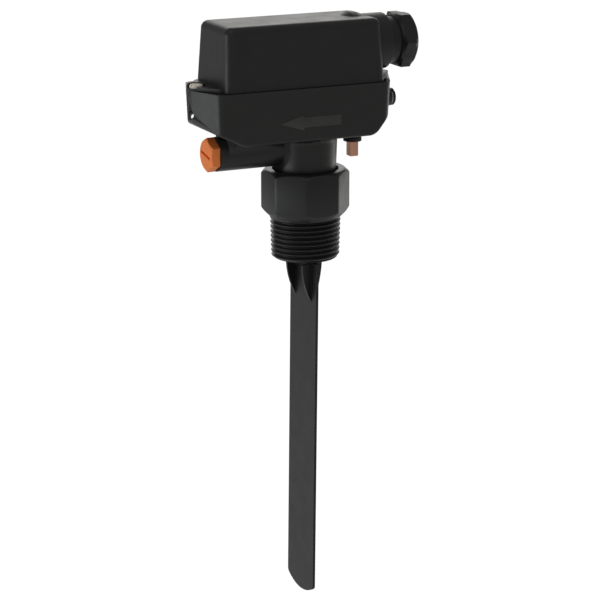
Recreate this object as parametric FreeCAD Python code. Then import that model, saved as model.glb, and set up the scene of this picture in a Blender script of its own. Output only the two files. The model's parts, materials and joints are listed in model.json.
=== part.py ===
import FreeCAD, Part
import math
import os

# Paddle flow switch with a one inch taper thread, a magnetic drive through a closed well and a
# covered switch housing.  Millimetres, +Z up.  The origin lies on the thread's axis where the
# thread meets the octagon.  The flow runs towards -X, and the front of the housing faces -Y.

V = FreeCAD.Vector
X_AXIS = V(1, 0, 0)
Y_AXIS = V(0, 1, 0)
Z_AXIS = V(0, 0, 1)

# ---------------------------------------------------------------- clearances
RUNNING = 0.05        # radial, pin in a bearing
SLIDING = 0.04        # radial, a piece that slides in a bore
LOOSE = 0.15          # radial, a piece dropped into a bore
HOLE_ROOM = 0.2       # radial, a screw in its clearance hole
SEAT_GAP = 0.3        # between a moving piece and what it rests near
HAIRLINE = 0.02       # between two faces that all but touch
BITE = 1.0            # how far a piece runs into what it is fused to, or a cut runs past a face

# ---------------------------------------------------------------- process adapter
THREAD_TOP_R = 16.93
THREAD_LENGTH = 20.1
THREAD_TAPER = 1 / 16
OCTAGON_AF = 39.0
OCTAGON_LOW_Z = 4.3
OCTAGON_HIGH_Z = 21.5
ADAPTER_TOP_Z = 23.0
PROCESS_BORE_R = 12.4
BORE_STEP_Z = 14.0
WELL_BORE_R = 10.4
WELL_WALL = 1.6
WELL_CROWN_Z = 35.5
WELL_CROWN = 2.0
COLLAR_RECESS_DEPTH = 2.2
COLLAR_RECESS_WIDTH = 1.3
KEY_NOTCH_WIDTH = 3.0

# ---------------------------------------------------------------- neck and housing
NECK_SEAT_Z = 15.5
NECK_SEAL = 1.2
NECK_LOW_R = 14.5
NECK_HIGH_R = 15.2
BARREL_ROOT_R = 4.0
BASE_Z = 39.6
BASE_HEIGHT = 25.3
FLOOR = 2.2
WALL = 2.4
BASE_LEFT_X = -52.4
BASE_RIGHT_X = 34.3
BASE_DEPTH = 41.4
BASE_DRAFT = 1.0
LEFT_RISE = 6.2
RIGHT_RISE = 8.5
FOOT_BEND_R = 7.0
END_BEND_R = 6.0
EAR_R = 4.7
LEFT_EAR_REACH = 3.2       # from the housing's left end to the screw
RIGHT_EAR_REACH = 4.3
EAR_BULGE_TOP = 1.7
EAR_BULGE_FOOT = 1.0
SIDE_EDGE_R = 4.5
LEFT_BEND_RISE = 5.5
LEFT_BEND_RUN = 13.0
RIGHT_BEND_RISE = 7.0
RIGHT_BEND_RUN = 6.5
LOCK_HOLE_WIDTH = 2.2
LOCK_HOLE_HEIGHT = 3.2
LOCK_HOLE_OFFSET = 2.2
LOCK_HOLE_TURN = 25.0
LOCK_HOLE_SLOPE = 14.0
LOCK_HOLE_Z = 52.7
FOOT_EDGE_R = 1.4
PILLAR_HEIGHT = 1.8
PILLAR_R = 3.4

# ---------------------------------------------------------------- range barrel
BARREL_Z = 33.5
BARREL_R = 8.1
WEB_SETBACK = 4.0
BARREL_INSET = 5.8         # from the housing's left end to the barrel's
BARREL_BORE_R = 5.4
CAP_HEX_AF = 14.2
CAP_THICKNESS = 4.4
CAP_SLOT_WIDTH = 1.3
CAP_SLOT_DEPTH = 1.6
CAP_SPIGOT_LENGTH = 7.0
RANGE_TRAVEL = 5.0
LEAD_SCREW_R = 2.0
CARRIER_LENGTH = 18.0
CARRIER_KEY_WIDTH = 1.8
CARRIER_KEY_HEIGHT = 1.0
CAP_SEAL_HALF = 0.7
BIAS_MAGNET_R = 3.0
BIAS_MAGNET_LENGTH = 5.0

# ---------------------------------------------------------------- paddle
PIVOT_Z = 8.0
PADDLE_REST_LEAN = 0.6
BLADE_WIDTH = 28.8
BLADE_THICKNESS = 1.3
BLADE_TIP_Z = -190.5
BLADE_END_R = 25.5
BLADE_CORNER_R = 2.4
SHANK_WIDTH = 18.0
SHANK_TOP_WIDTH = 10.0
SHANK_RIB_R = 2.2
PADDLE_SWING = 12.0
SWING_ROOM = 0.4
GUSSET_Y = 8.8
GUSSET_THICKNESS = 1.4
GUSSET_HEIGHT = 4.9
BACK_GUSSET_HEIGHT = 4.1
BACK_GUSSET_RISE = 5.0
GUSSET_FULLNESS = 0.76
GUSSET_END_Z = -41.5
PADDLE_HUB_R = 3.3
PADDLE_HUB_WIDTH = 12.0
PADDLE_ARM_LOW_R = 2.5
PADDLE_ARM_HIGH_R = 2.0
PIVOT_PIN_R = 1.5
PADDLE_MAGNET_R = 3.0
PADDLE_MAGNET_LENGTH = 5.0
PADDLE_MAGNET_TOP_Z = 32.2
MAGNET_CUP_WALL = 1.0
CARRIER_RING_HEIGHT = 10.0
CARRIER_RING_WALL = 1.5
SNAP_RING_WIDTH = 1.2
SNAP_RING_HEIGHT = 1.0
SNAP_RING_GAP = 4.0

# ---------------------------------------------------------------- cover
COVER_LEFT_INSET = 4.2
COVER_RIGHT_INSET = 1.1
COVER_SIDE_INSET = 1.7
COVER_HEIGHT = 29.5
COVER_END_DRAFT = 1.2
COVER_SIDE_DRAFT = 2.6
COVER_CORNER_R = 3.8
COVER_EDGE_R = 3.6
COVER_WALL = 2.2
COVER_TAB = 1.8
COVER_SCREW_SEAT = 0.7
TAB_INSET_END = 1.0
TAB_INSET_SIDE = 3.5
TAB_RIM_WALL = 1.0
RIM_WINDOW_TURN = 28.0
GASKET_THICKNESS = 1.2
GASKET_WIDTH = 1.6
GASKET_INSET = 0.6
RIM_HEIGHT = 2.7
HOOK_WIDTH = 11.0
HOOK_DEPTH = 5.5
HOOK_SHEET = 1.4
HOOK_NIB = 0.9
HOOK_NIB_HEIGHT = 1.4
HOOK_ROOM = 0.15
HOOK_SETBACK = 0.6

# ---------------------------------------------------------------- cable entry
ENTRY_RISE = 16.3
ENTRY_R = 13.3
ENTRY_REACH = 6.8          # from the cover's right end to the end of the collar
HUMP_START_X = 17.0
HUMP_FLARE = 5.0
HUMP_FLAT = 2.4
HUMP_FALL = 6.5
HUMP_R = 14.9
HUMP_START_R = 12.6
RECESS_START = 9.2         # from the cover's right end back to where the collar's recess runs out
RECESS_WIDTH = 2.9
RECESS_WALL = 2.0
ENTRY_BORE_R = 9.6
ENTRY_THROAT_R = 7.0
ENTRY_THROAT_X = 35.0
SPOUT_R = 10.6
SPOUT_LENGTH = 8.4
SEAL_SETBACK = 0.6
GLAND_WASHER = 2.0
GROOVE_R = 11.4
NUT_GAP = 5.2              # width of the groove between the collar and the nut
NUT_LENGTH = 9.0
NUT_AF = 24.8
NUT_FACE_CHAMFER = 1.2
NUT_CROWN = 2.6
NUT_HOLE_R = 7.4
CABLE_R = 6.0

# ---------------------------------------------------------------- fasteners
COVER_SCREW_R = 1.75
COVER_SCREW_HEAD_R = 3.1
COVER_SCREW_HEAD = 1.6
COVER_SCREW_LENGTH = 12.0
SMALL_SCREW_R = 1.25
SMALL_SCREW_HEAD_R = 2.3
SMALL_SCREW_HEAD = 1.3
SMALL_SCREW_DEPTH = 3.2
SLOT_WIDTH = 0.7
HEAD_CHAMFER = 0.25        # as a share of the head's height
SLOT_SHARE = 0.5

# ---------------------------------------------------------------- earth screw at the right end
END_SCREW_Z = 53.7
END_BOSS_REACH = 5.6
END_BOSS_R = 4.3
END_WASHER_R = 4.0
END_WASHER = 0.5
END_SCREW_R = 1.75
END_SCREW_HEAD_R = 4.15
END_SCREW_HEAD = 1.5
END_SCREW_LENGTH = 5.0

# ---------------------------------------------------------------- test push rod
TEST_INSET = 9.4           # from the housing's right end to the push rod
TEST_STROKE = 3.0
TEST_POST_AF = 4.2
TEST_POST_END_Z = 26.6
TEST_COLLAR_R = 4.4
TEST_COLLAR_LOW_Z = 34.0
TEST_ROD_R = 1.5
TEST_SPRING_R = 2.6
TEST_SPRING_WIRE_R = 0.3
TEST_SPRING_TURNS = 4
WIRE_SIDES = 6
TEST_SHOULDER = 1.0
TEST_RETAINER = 0.8
TEST_GUIDE_BORE_R = 3.0
TEST_GUIDE_R = 4.3
TEST_GUIDE_TOP_Z = 51.0
TEST_FINGER_DROP = 2.0

# ---------------------------------------------------------------- switch mechanism
FOLLOWER_Z = 57.0
FOLLOWER_MAGNET_R = 3.0
FOLLOWER_MAGNET_LENGTH = 4.0
FOLLOWER_MAGNET_LOW_Z = 38.2
FOLLOWER_WIDTH = 8.0
FOLLOWER_PIN_R = 1.0
FOLLOWER_HUB_R = 2.8
FOLLOWER_NOSE_X = 5.0
FOLLOWER_NOSE_R = 1.0
TEST_FINGER_TOP_DROP = 0.4
TEST_FINGER_END = 2.5
FOLLOWER_NOSE_WIDTH = 4.0
FOLLOWER_ARM_HIGH_R = 1.6
FOLLOWER_ARM_LOW_R = 1.2
FOLLOWER_PIN_PROUD = 0.6
BRACKET_SHEET = 1.2
BRACKET_MARGIN = 4.0
BRACKET_BORDER = 1.0
BRACKET_FOOT_X = 10.0
BRACKET_SHOULDER = 5.0
BRACKET_WELL_X = 8.5
BRACKET_CORNER_R = 1.8
BRACKET_GAP = 10.7
BRACKET_SCREW_X = (-19.0, 16.6)
SWITCH_LENGTH = 27.8
SWITCH_WIDTH = 10.3
SWITCH_HEIGHT = 15.9
SWITCH_LOW_Z = 60.6
PLUNGER_TO_END = 8.0
SWITCH_HOLE_PITCH = 22.2
SWITCH_HOLE_UP = 12.9
PLUNGER_R = 1.2
PLUNGER_BORE = 5.0
PLUNGER_LENGTH_INSIDE = 3.0
SWITCH_EDGE_R = 0.8
SWITCH_NUT = 1.6
SWITCH_NUT_AF = 4.6
TAB_SHEET = 0.8
TAB_WIDTH = 4.8
TAB_LENGTH = 6.2
TAB_INSET = 3.2
TAB_HOLE_R = 0.8
TAB_HOLE_UP = 4.0
TERMINAL_INSET = 21.4      # from the housing's left end to the middle of the block
TERMINAL_PITCH = 7.6
TERMINAL_WAYS = 3
TERMINAL_LOW_Z = 52.0
TERMINAL_LENGTH = 13.0
TERMINAL_BODY = 9.0
TERMINAL_BARRIER = 4.0
TERMINAL_WALL = 1.2
TERMINAL_FOOT = 2.5
CAGE_WIDTH = 5.2
CAGE_LENGTH = 10.0
CAGE_UP = 3.2
CAGE_HEIGHT = 4.2
CAGE_WIRE_R = 1.4
CAGE_FLOOR = 0.4
CAGE_SCREW_R = 1.3
CAGE_SCREW_HEAD_R = 2.2
CAGE_SCREW_HEAD = 1.2


# ---------------------------------------------------------------- places that follow from the sizes
WELL_OUTER_R = WELL_BORE_R + WELL_WALL
NECK_BORE_R = WELL_OUTER_R + LOOSE
NECK_BASE_Z = NECK_SEAT_Z + NECK_SEAL
THREAD_END_R = THREAD_TOP_R - THREAD_LENGTH * THREAD_TAPER / 2
SWING_LIMIT = math.radians(PADDLE_SWING + PADDLE_REST_LEAN)
SHOULDER_Z = PIVOT_Z - (PIVOT_Z + THREAD_LENGTH + SWING_ROOM) / math.cos(SWING_LIMIT)
SNAP_RING_TOP_Z = BORE_STEP_Z - CARRIER_RING_HEIGHT - HAIRLINE
SEAM_Z = BASE_Z + BASE_HEIGHT
LEFT_SCREW_X = BASE_LEFT_X - LEFT_EAR_REACH
RIGHT_EAR_X = BASE_RIGHT_X + RIGHT_EAR_REACH
BARREL_END_X = BASE_LEFT_X + BARREL_INSET
COVER_LEFT_X = BASE_LEFT_X + COVER_LEFT_INSET
COVER_RIGHT_X = BASE_RIGHT_X - COVER_RIGHT_INSET
COVER_DEPTH = BASE_DEPTH - 2 * COVER_SIDE_INSET
COVER_TOP_Z = SEAM_Z + COVER_HEIGHT
RIM_TOP_Z = SEAM_Z + RIM_HEIGHT
ENTRY_Z = SEAM_Z + ENTRY_RISE
ENTRY_END_X = COVER_RIGHT_X + ENTRY_REACH
SPOUT_END_X = ENTRY_END_X + SPOUT_LENGTH
NUT_START_X = ENTRY_END_X + NUT_GAP
NUT_END_X = NUT_START_X + NUT_LENGTH
END_FACE_X = RIGHT_EAR_X + END_BOSS_REACH
TEST_X = BASE_RIGHT_X - TEST_INSET
TERMINAL_X = BASE_LEFT_X + TERMINAL_INSET
FLOOR_TOP_Z = BASE_Z + FLOOR
PILLAR_TOP_Z = FLOOR_TOP_Z + PILLAR_HEIGHT
GASKET_SEAT_Z = SEAM_Z - GASKET_THICKNESS
CAP_FACE_X = BARREL_END_X - CAP_THICKNESS - SEAT_GAP
CAP_SEAL_X = BARREL_END_X + CAP_SPIGOT_LENGTH / 2
CAP_SEAL_R = BARREL_BORE_R - CAP_SEAL_HALF - HAIRLINE
CARRIER_START_X = BARREL_END_X + CAP_SPIGOT_LENGTH + SEAT_GAP
BIAS_MAGNET_X = CARRIER_START_X + CARRIER_LENGTH - BIAS_MAGNET_LENGTH
PADDLE_MAGNET_LOW_Z = PADDLE_MAGNET_TOP_Z - PADDLE_MAGNET_LENGTH
PADDLE_CUP_LOW_Z = PADDLE_MAGNET_LOW_Z - MAGNET_CUP_WALL
SEAL_END_X = SPOUT_END_X - SEAL_SETBACK
CLAMP_END_X = SEAL_END_X + GLAND_WASHER
TEST_ROD_LOW_Z = TEST_POST_END_Z + 2.0
TEST_POST_TOP_Z = BASE_Z - TEST_STROKE - SEAT_GAP
TEST_SHOULDER_Z = FLOOR_TOP_Z + SEAT_GAP
TEST_ROD_TOP_Z = FOLLOWER_Z - TEST_FINGER_DROP - SEAT_GAP - TEST_STROKE
TEST_RETAINER_Z = TEST_GUIDE_TOP_Z - TEST_RETAINER
BRACKET_OUT_Y = BRACKET_GAP / 2 + BRACKET_SHEET
BRACKET_TOP_Z = PILLAR_TOP_Z + BRACKET_SHEET
SWITCH_RIGHT_X = FOLLOWER_NOSE_X + PLUNGER_TO_END
SWITCH_LEFT_X = SWITCH_RIGHT_X - SWITCH_LENGTH
SWITCH_HOLE_Z = SWITCH_LOW_Z + SWITCH_HOLE_UP
SWITCH_MID_X = (SWITCH_LEFT_X + SWITCH_RIGHT_X) / 2
SWITCH_HOLE_X = (SWITCH_MID_X - SWITCH_HOLE_PITCH / 2, SWITCH_MID_X + SWITCH_HOLE_PITCH / 2)
TERMINAL_HALF = TERMINAL_PITCH * TERMINAL_WAYS / 2
TERMINAL_WAY_Y = [TERMINAL_PITCH * (k - (TERMINAL_WAYS - 1) / 2) for k in range(TERMINAL_WAYS)]
BLOCK_SCREW_Y = TERMINAL_HALF + SMALL_SCREW_HEAD_R + SEAT_GAP


# ================================================================= small helpers
def box(x0, x1, y0, y1, z0, z1):
    return Part.makeBox(x1 - x0, y1 - y0, z1 - z0, V(x0, y0, z0))


def rod(radius, start, length, direction=Z_AXIS):
    return Part.makeCylinder(radius, length, start, direction)


def tube(outer, inner, start, length, direction=Z_AXIS):
    return rod(outer, start, length, direction).cut(rod(inner, start, length, direction))


def outline(points):
    """A closed flat wire through the given points."""
    return Part.makePolygon(points + [points[0]])


def prism(points, direction):
    return Part.Face(outline(points)).extrude(direction)


def hexagon_bar(across_flats, start, length, direction, turn=0.0, sides=6):
    """A bar of regular section whose axis starts at start and runs along direction."""
    radius = across_flats / 2 / math.cos(math.pi / sides)
    points = []
    for k in range(sides):
        angle = math.radians(turn) + 2 * math.pi * k / sides
        points.append(V(radius * math.cos(angle), radius * math.sin(angle), 0))
    bar = prism(points, V(0, 0, length))
    bar.Placement = FreeCAD.Placement(start, FreeCAD.Rotation(Z_AXIS, direction))
    return bar


def revolve(profile, centre=V(0, 0, 0), direction=Z_AXIS):
    """A solid of revolution from (radius, height) pairs, its axis along direction."""
    face = Part.Face(outline([V(r, 0, h) for r, h in profile]))
    solid = face.revolve(V(0, 0, 0), Z_AXIS, 360)
    solid.Placement = FreeCAD.Placement(centre, FreeCAD.Rotation(Z_AXIS, direction))
    return solid


def edges_where(shape, test):
    return [edge for edge in shape.Edges if test(edge)]


def is_along(edge, direction):
    """True for a straight edge within about ten degrees of the direction."""
    if len(edge.Vertexes) != 2:
        return False
    run = edge.Vertexes[1].Point.sub(edge.Vertexes[0].Point)
    if edge.Length > run.Length * 1.0001:
        return False
    return abs(run.normalize().dot(direction)) > 0.98


def soften(shape, radius, test):
    """Rounds the edges that pass the test."""
    chosen = edges_where(shape, test)
    return shape.makeFillet(radius, chosen) if chosen else shape


def one_solid(shape):
    """The single solid inside a compound that a boolean may return."""
    shape = shape.removeSplitter()
    return shape.Solids[0] if len(shape.Solids) == 1 else shape


def screw(head_r, head, shank_r, length, slot_width=SLOT_WIDTH):
    """A slotted cheese-head screw: its seat at z = 0, its head above and its shank below."""
    body = rod(shank_r, V(0, 0, -length), length).fuse(rod(head_r, V(0, 0, 0), head))
    body = body.removeSplitter()
    body = body.makeChamfer(head * HEAD_CHAMFER, edges_where(body, lambda e: e.BoundBox.ZMin > head - HAIRLINE))
    slot = box(-head_r, head_r, -slot_width / 2, slot_width / 2, head * (1 - SLOT_SHARE), 2 * head)
    return one_solid(body.cut(slot))


def placed(shape, where, direction=Z_AXIS, spin=0.0):
    """A copy moved from the origin, with its own +Z turned to the direction."""
    copy = shape.copy()
    turn = FreeCAD.Rotation(Z_AXIS, direction).multiply(FreeCAD.Rotation(Z_AXIS, spin))
    copy.Placement = FreeCAD.Placement(where, turn)
    return copy


def write(name, shape):
    solids = shape.Solids
    bad = [s for s in solids if not s.isValid() or s.Volume < 0.01]
    print("%-22s solids %d volume %9.1f %s" % (name, len(solids), shape.Volume, "BAD" if bad else ""))
    if len(solids) == 1:
        shape = solids[0]
    shape.exportStep("parts/%s.step" % name)


# ================================================================= process side
def process_adapter():
    """Octagon, taper thread and closed well in one moulding, open at its lower end."""
    octagon_r = OCTAGON_AF / 2 / math.cos(math.pi / 8)
    octagon = hexagon_bar(OCTAGON_AF, V(0, 0, 0), ADAPTER_TOP_Z, Z_AXIS, 22.5, 8)
    chamfers = revolve([
        (0, 0),
        (THREAD_TOP_R, 0),
        (octagon_r + 0.2, OCTAGON_LOW_Z),
        (octagon_r + 0.2, OCTAGON_HIGH_Z - 0.6),
        (OCTAGON_AF / 2 - 0.6, ADAPTER_TOP_Z),
        (0, ADAPTER_TOP_Z)])
    body = octagon.common(chamfers)
    thread = Part.makeCone(THREAD_END_R, THREAD_TOP_R, THREAD_LENGTH, V(0, 0, -THREAD_LENGTH))
    tip = Part.makeCone(THREAD_END_R - 1.2, THREAD_TOP_R + 1.0, THREAD_TOP_R - THREAD_END_R + 2.2,
                        V(0, 0, -THREAD_LENGTH))
    thread = thread.common(tip.fuse(rod(THREAD_TOP_R + 1.0, V(0, 0, -THREAD_LENGTH + 2.0), THREAD_LENGTH)))
    body = body.fuse(thread)
    # the well stands inside the neck, and a groove in the octagon's top takes the neck's foot
    well = rod(WELL_OUTER_R, V(0, 0, NECK_SEAT_Z), WELL_CROWN_Z - NECK_SEAT_Z)
    groove_r = NECK_LOW_R + COLLAR_RECESS_WIDTH
    groove = tube(NECK_LOW_R + LOOSE, WELL_OUTER_R, V(0, 0, NECK_SEAT_Z), ADAPTER_TOP_Z)
    recess = tube(groove_r, WELL_OUTER_R, V(0, 0, ADAPTER_TOP_Z - COLLAR_RECESS_DEPTH), ADAPTER_TOP_Z)
    body = body.cut(groove).cut(recess).fuse(well)
    body = body.cut(rod(PROCESS_BORE_R, V(0, 0, -THREAD_LENGTH), THREAD_LENGTH + BORE_STEP_Z))
    body = body.cut(rod(WELL_BORE_R, V(0, 0, 0), WELL_CROWN_Z - WELL_CROWN))
    # snap ring groove under the hinge carrier
    body = body.cut(rod(PROCESS_BORE_R + SNAP_RING_WIDTH / 2 + RUNNING,
                        V(0, 0, SNAP_RING_TOP_Z - SNAP_RING_HEIGHT - RUNNING), SNAP_RING_HEIGHT + 2 * RUNNING))
    # two key notches in the rim, at the back right
    for angle in (18, 52):
        notch = box(groove_r - 0.5, OCTAGON_AF, -KEY_NOTCH_WIDTH / 2, KEY_NOTCH_WIDTH / 2,
                    ADAPTER_TOP_Z - COLLAR_RECESS_DEPTH / 2, ADAPTER_TOP_Z + 1)
        notch.rotate(V(0, 0, 0), Z_AXIS, angle)
        body = body.cut(notch)
    return one_solid(body)


def neck_seal():
    """Flat ring under the foot of the neck."""
    return tube(NECK_LOW_R, NECK_BORE_R, V(0, 0, NECK_SEAT_Z), NECK_SEAL)


def hinge_carrier():
    """Ring that holds the pivot pin, pushed up to the step in the adapter's bore."""
    outer = PROCESS_BORE_R - RUNNING
    low = BORE_STEP_Z - CARRIER_RING_HEIGHT
    ring = tube(outer, outer - CARRIER_RING_WALL, V(0, 0, low), CARRIER_RING_HEIGHT)
    # bearing cheeks run in from the ring to the paddle's hub
    cheek_y = PADDLE_HUB_WIDTH / 2 + SEAT_GAP
    cheeks = box(-PADDLE_HUB_R, PADDLE_HUB_R, -outer, outer, low, BORE_STEP_Z)
    cheeks = cheeks.common(rod(outer, V(0, 0, low), CARRIER_RING_HEIGHT))
    cheeks = cheeks.cut(box(-outer, outer, -cheek_y, cheek_y, low - 1, BORE_STEP_Z + 1))
    ring = ring.fuse(cheeks)
    ring = ring.cut(rod(PIVOT_PIN_R, V(0, -outer - 1, PIVOT_Z), 2 * outer + 2, Y_AXIS))
    return one_solid(ring)


def pivot_pin():
    length = 2 * (PROCESS_BORE_R - CARRIER_RING_WALL)
    return rod(PIVOT_PIN_R, V(0, -length / 2, PIVOT_Z), length, Y_AXIS)


def snap_ring():
    """Open flat ring that keeps the hinge carrier up in the bore."""
    half = SNAP_RING_WIDTH / 2
    low = SNAP_RING_TOP_Z - SNAP_RING_HEIGHT
    ring = tube(PROCESS_BORE_R + half, PROCESS_BORE_R - half, V(0, 0, low), SNAP_RING_HEIGHT)
    gap = box(0, 2 * PROCESS_BORE_R, -SNAP_RING_GAP / 2, SNAP_RING_GAP / 2, low - BITE, SNAP_RING_TOP_Z + BITE)
    return one_solid(ring.cut(gap))


def blade_outline():
    """Blade with a narrow shank above its shoulders and a shallow arc at its tip."""
    half = BLADE_WIDTH / 2
    shank = SHANK_WIDTH / 2
    top = SHANK_TOP_WIDTH / 2
    rise = BLADE_END_R - math.sqrt(BLADE_END_R ** 2 - half ** 2)
    edges = [
        Part.LineSegment(V(0, half, BLADE_TIP_Z + rise), V(0, half, SHOULDER_Z)),
        Part.LineSegment(V(0, half, SHOULDER_Z), V(0, shank, SHOULDER_Z)),
        Part.LineSegment(V(0, shank, SHOULDER_Z), V(0, top, PIVOT_Z)),
        Part.LineSegment(V(0, top, PIVOT_Z), V(0, -top, PIVOT_Z)),
        Part.LineSegment(V(0, -top, PIVOT_Z), V(0, -shank, SHOULDER_Z)),
        Part.LineSegment(V(0, -shank, SHOULDER_Z), V(0, -half, SHOULDER_Z)),
        Part.LineSegment(V(0, -half, SHOULDER_Z), V(0, -half, BLADE_TIP_Z + rise)),
        Part.Arc(V(0, -half, BLADE_TIP_Z + rise), V(0, 0, BLADE_TIP_Z), V(0, half, BLADE_TIP_Z + rise))]
    return Part.Wire([edge.toShape() for edge in edges])


def paddle():
    """Blade, hub and magnet arm in one moulding that swings on the pivot pin."""
    half = BLADE_THICKNESS / 2
    blade = Part.Face(blade_outline()).extrude(V(BLADE_THICKNESS, 0, 0))
    blade.translate(V(-half, 0, 0))
    end = BLADE_TIP_Z + BLADE_END_R
    blade = soften(blade, BLADE_CORNER_R,
                   lambda e: is_along(e, X_AXIS) and e.BoundBox.ZMax < min(end, SHOULDER_Z - 50))
    body = blade
    # two gussets on each face stiffen the root; the back ones reach up into the bore
    for y in (-GUSSET_Y, GUSSET_Y):
        body = body.fuse(gusset(y, -1, GUSSET_HEIGHT, 0))
        body = body.fuse(gusset(y, 1, BACK_GUSSET_HEIGHT, BACK_GUSSET_RISE))
    shank_rib = box(-SHANK_RIB_R, SHANK_RIB_R, -GUSSET_THICKNESS / 2, GUSSET_THICKNESS / 2,
                    SHOULDER_Z, PIVOT_Z)
    hub = rod(PADDLE_HUB_R, V(0, -PADDLE_HUB_WIDTH / 2, PIVOT_Z), PADDLE_HUB_WIDTH, Y_AXIS)
    arm = Part.makeCone(PADDLE_ARM_LOW_R, PADDLE_ARM_HIGH_R, PADDLE_CUP_LOW_Z - PIVOT_Z, V(0, 0, PIVOT_Z))
    cup = rod(PADDLE_MAGNET_R + MAGNET_CUP_WALL, V(0, 0, PADDLE_CUP_LOW_Z),
              PADDLE_MAGNET_TOP_Z - PADDLE_CUP_LOW_Z)
    body = body.fuse([shank_rib, hub, arm, cup])
    body = body.cut(rod(PADDLE_MAGNET_R, V(0, 0, PADDLE_MAGNET_LOW_Z), PADDLE_MAGNET_LENGTH))
    body = body.cut(rod(PIVOT_PIN_R + RUNNING, V(0, -PADDLE_HUB_WIDTH, PIVOT_Z),
                        2 * PADDLE_HUB_WIDTH, Y_AXIS))
    return lean(one_solid(body))


def gusset(y, side, height, rise):
    """One fin of the root, bowed towards the blade, its top cut back so that it clears at full swing."""
    root = side * BLADE_THICKNESS / 4
    rim = side * (BLADE_THICKNESS / 2 + height)
    low_y = y - GUSSET_THICKNESS / 2
    rim_z = SHOULDER_Z - abs(rim) * math.tan(SWING_LIMIT) + rise
    middle = V(root + (rim - root) * GUSSET_FULLNESS, low_y, (rim_z + GUSSET_END_Z) / 2)
    top = V(root, low_y, SHOULDER_Z + rise)
    tip = V(rim, low_y, rim_z)
    end = V(root, low_y, GUSSET_END_Z)
    bow = Part.Arc(tip, middle, end).toShape()
    wire = Part.Wire([Part.makeLine(top, tip), bow, Part.makeLine(end, top)])
    return Part.Face(wire).extrude(V(0, GUSSET_THICKNESS, 0))


def lean(shape):
    """Turns a piece of the paddle about the pivot to its slightly leaning rest place."""
    shape.rotate(V(0, 0, PIVOT_Z), Y_AXIS, PADDLE_REST_LEAN)
    return shape


def paddle_magnet():
    return lean(rod(PADDLE_MAGNET_R, V(0, 0, PADDLE_MAGNET_LOW_Z), PADDLE_MAGNET_LENGTH))


# ================================================================= lower housing
def rounded_corner(before, corner, after, radius):
    """Where a round corner starts, its middle and where it ends."""
    to_before = before.sub(corner).normalize()
    to_after = after.sub(corner).normalize()
    half_angle = math.acos(to_before.dot(to_after)) / 2
    start = corner.add(to_before.multiply(radius / math.tan(half_angle)))
    end = corner.add(to_after.multiply(radius / math.tan(half_angle)))
    inward = start.add(end).multiply(0.5).sub(corner).normalize()
    middle = corner.add(inward.multiply(radius / math.sin(half_angle) - radius))
    return start, middle, end


def ear_hull(left_x, right_x, half_depth, ear_r, corner_r, z, inset=0.0):
    """Plan outline of the housing: a rectangle whose ends run out tangent to a round ear.

    The inset pulls the outline in by the same distance all round."""
    half = half_depth - inset
    radius = ear_r - inset
    points = []
    for side, edge_x, ear_x in ((1, right_x - inset, RIGHT_EAR_X), (-1, left_x + inset, LEFT_SCREW_X)):
        corner = V(edge_x, half, z)
        run = abs(ear_x - edge_x)
        reach = math.hypot(run, half)
        # the tangent from the corner to the circle round the ear's centre
        lift = math.atan2(half, run) + math.acos(radius / reach)
        touch = V(ear_x - side * radius * math.cos(lift), radius * math.sin(lift), z)
        round_points = rounded_corner(V(0, half, z), corner, touch, max(corner_r - inset, 0.5))
        points.append((round_points, touch, V(ear_x + side * radius, 0, z)))
    right, left = points

    def mirror(p):
        return V(p.x, -p.y, p.z)

    def half_end(corner, touch):
        """Corner arc and slanting wall of one end's back half."""
        return [Part.Arc(*corner).toShape(), Part.makeLine(corner[2], touch)]

    def flipped(edges):
        """The same edges mirrored to the front half, in reverse order."""
        return [edge.mirror(V(0, 0, 0), Y_AXIS) for edge in reversed(edges)]

    right_end = half_end(right[0], right[1])
    left_end = half_end(left[0], left[1])
    edges = [Part.makeLine(left[0][0], right[0][0])]
    edges += right_end
    edges.append(Part.Arc(right[1], right[2], mirror(right[1])).toShape())
    edges += flipped(right_end)
    edges.append(Part.makeLine(mirror(right[0][0]), mirror(left[0][0])))
    edges += reversed(flipped(left_end))
    edges.append(Part.Arc(mirror(left[1]), left[2], left[1]).toShape())
    edges += reversed(left_end)
    return Part.Wire(edges)


def housing_outline(z, inset=0.0):
    """Plan of the lower housing at a height, drawn in towards its foot by the draft."""
    draft = BASE_DRAFT * (SEAM_Z - z) / (SEAM_Z - BASE_Z)
    return ear_hull(BASE_LEFT_X, BASE_RIGHT_X, BASE_DEPTH / 2, EAR_R, SIDE_EDGE_R, z, inset + draft)


def foot_profile(inset=0.0):
    """Side view of the housing, its foot rising towards both ends, as a prism along Y."""
    low = BASE_Z + inset
    left = LEFT_SCREW_X - EAR_R - BITE
    right = RIGHT_EAR_X + EAR_R + BITE
    high = SEAM_Z + BITE
    wide = BASE_DEPTH
    body = prism([
        V(left, -wide, high),
        V(left, -wide, low + LEFT_RISE + LEFT_BEND_RISE),
        V(BASE_LEFT_X, -wide, low + LEFT_RISE),
        V(BASE_LEFT_X + LEFT_BEND_RUN, -wide, low),
        V(BASE_RIGHT_X - RIGHT_BEND_RUN, -wide, low),
        V(BASE_RIGHT_X, -wide, low + RIGHT_RISE),
        V(right, -wide, low + RIGHT_RISE + RIGHT_BEND_RISE),
        V(right, -wide, high)], V(0, 2 * wide, 0))
    body = soften(body, FOOT_BEND_R, lambda e: is_along(e, Y_AXIS) and e.BoundBox.ZMax < low + BITE)

    def is_end_crease(edge):
        x = edge.CenterOfMass.x
        at_end = abs(x - BASE_LEFT_X) < HAIRLINE or abs(x - BASE_RIGHT_X) < HAIRLINE
        return is_along(edge, Y_AXIS) and at_end and edge.BoundBox.ZMax < low + RIGHT_RISE + BITE

    return soften(body, END_BEND_R, is_end_crease)


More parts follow.
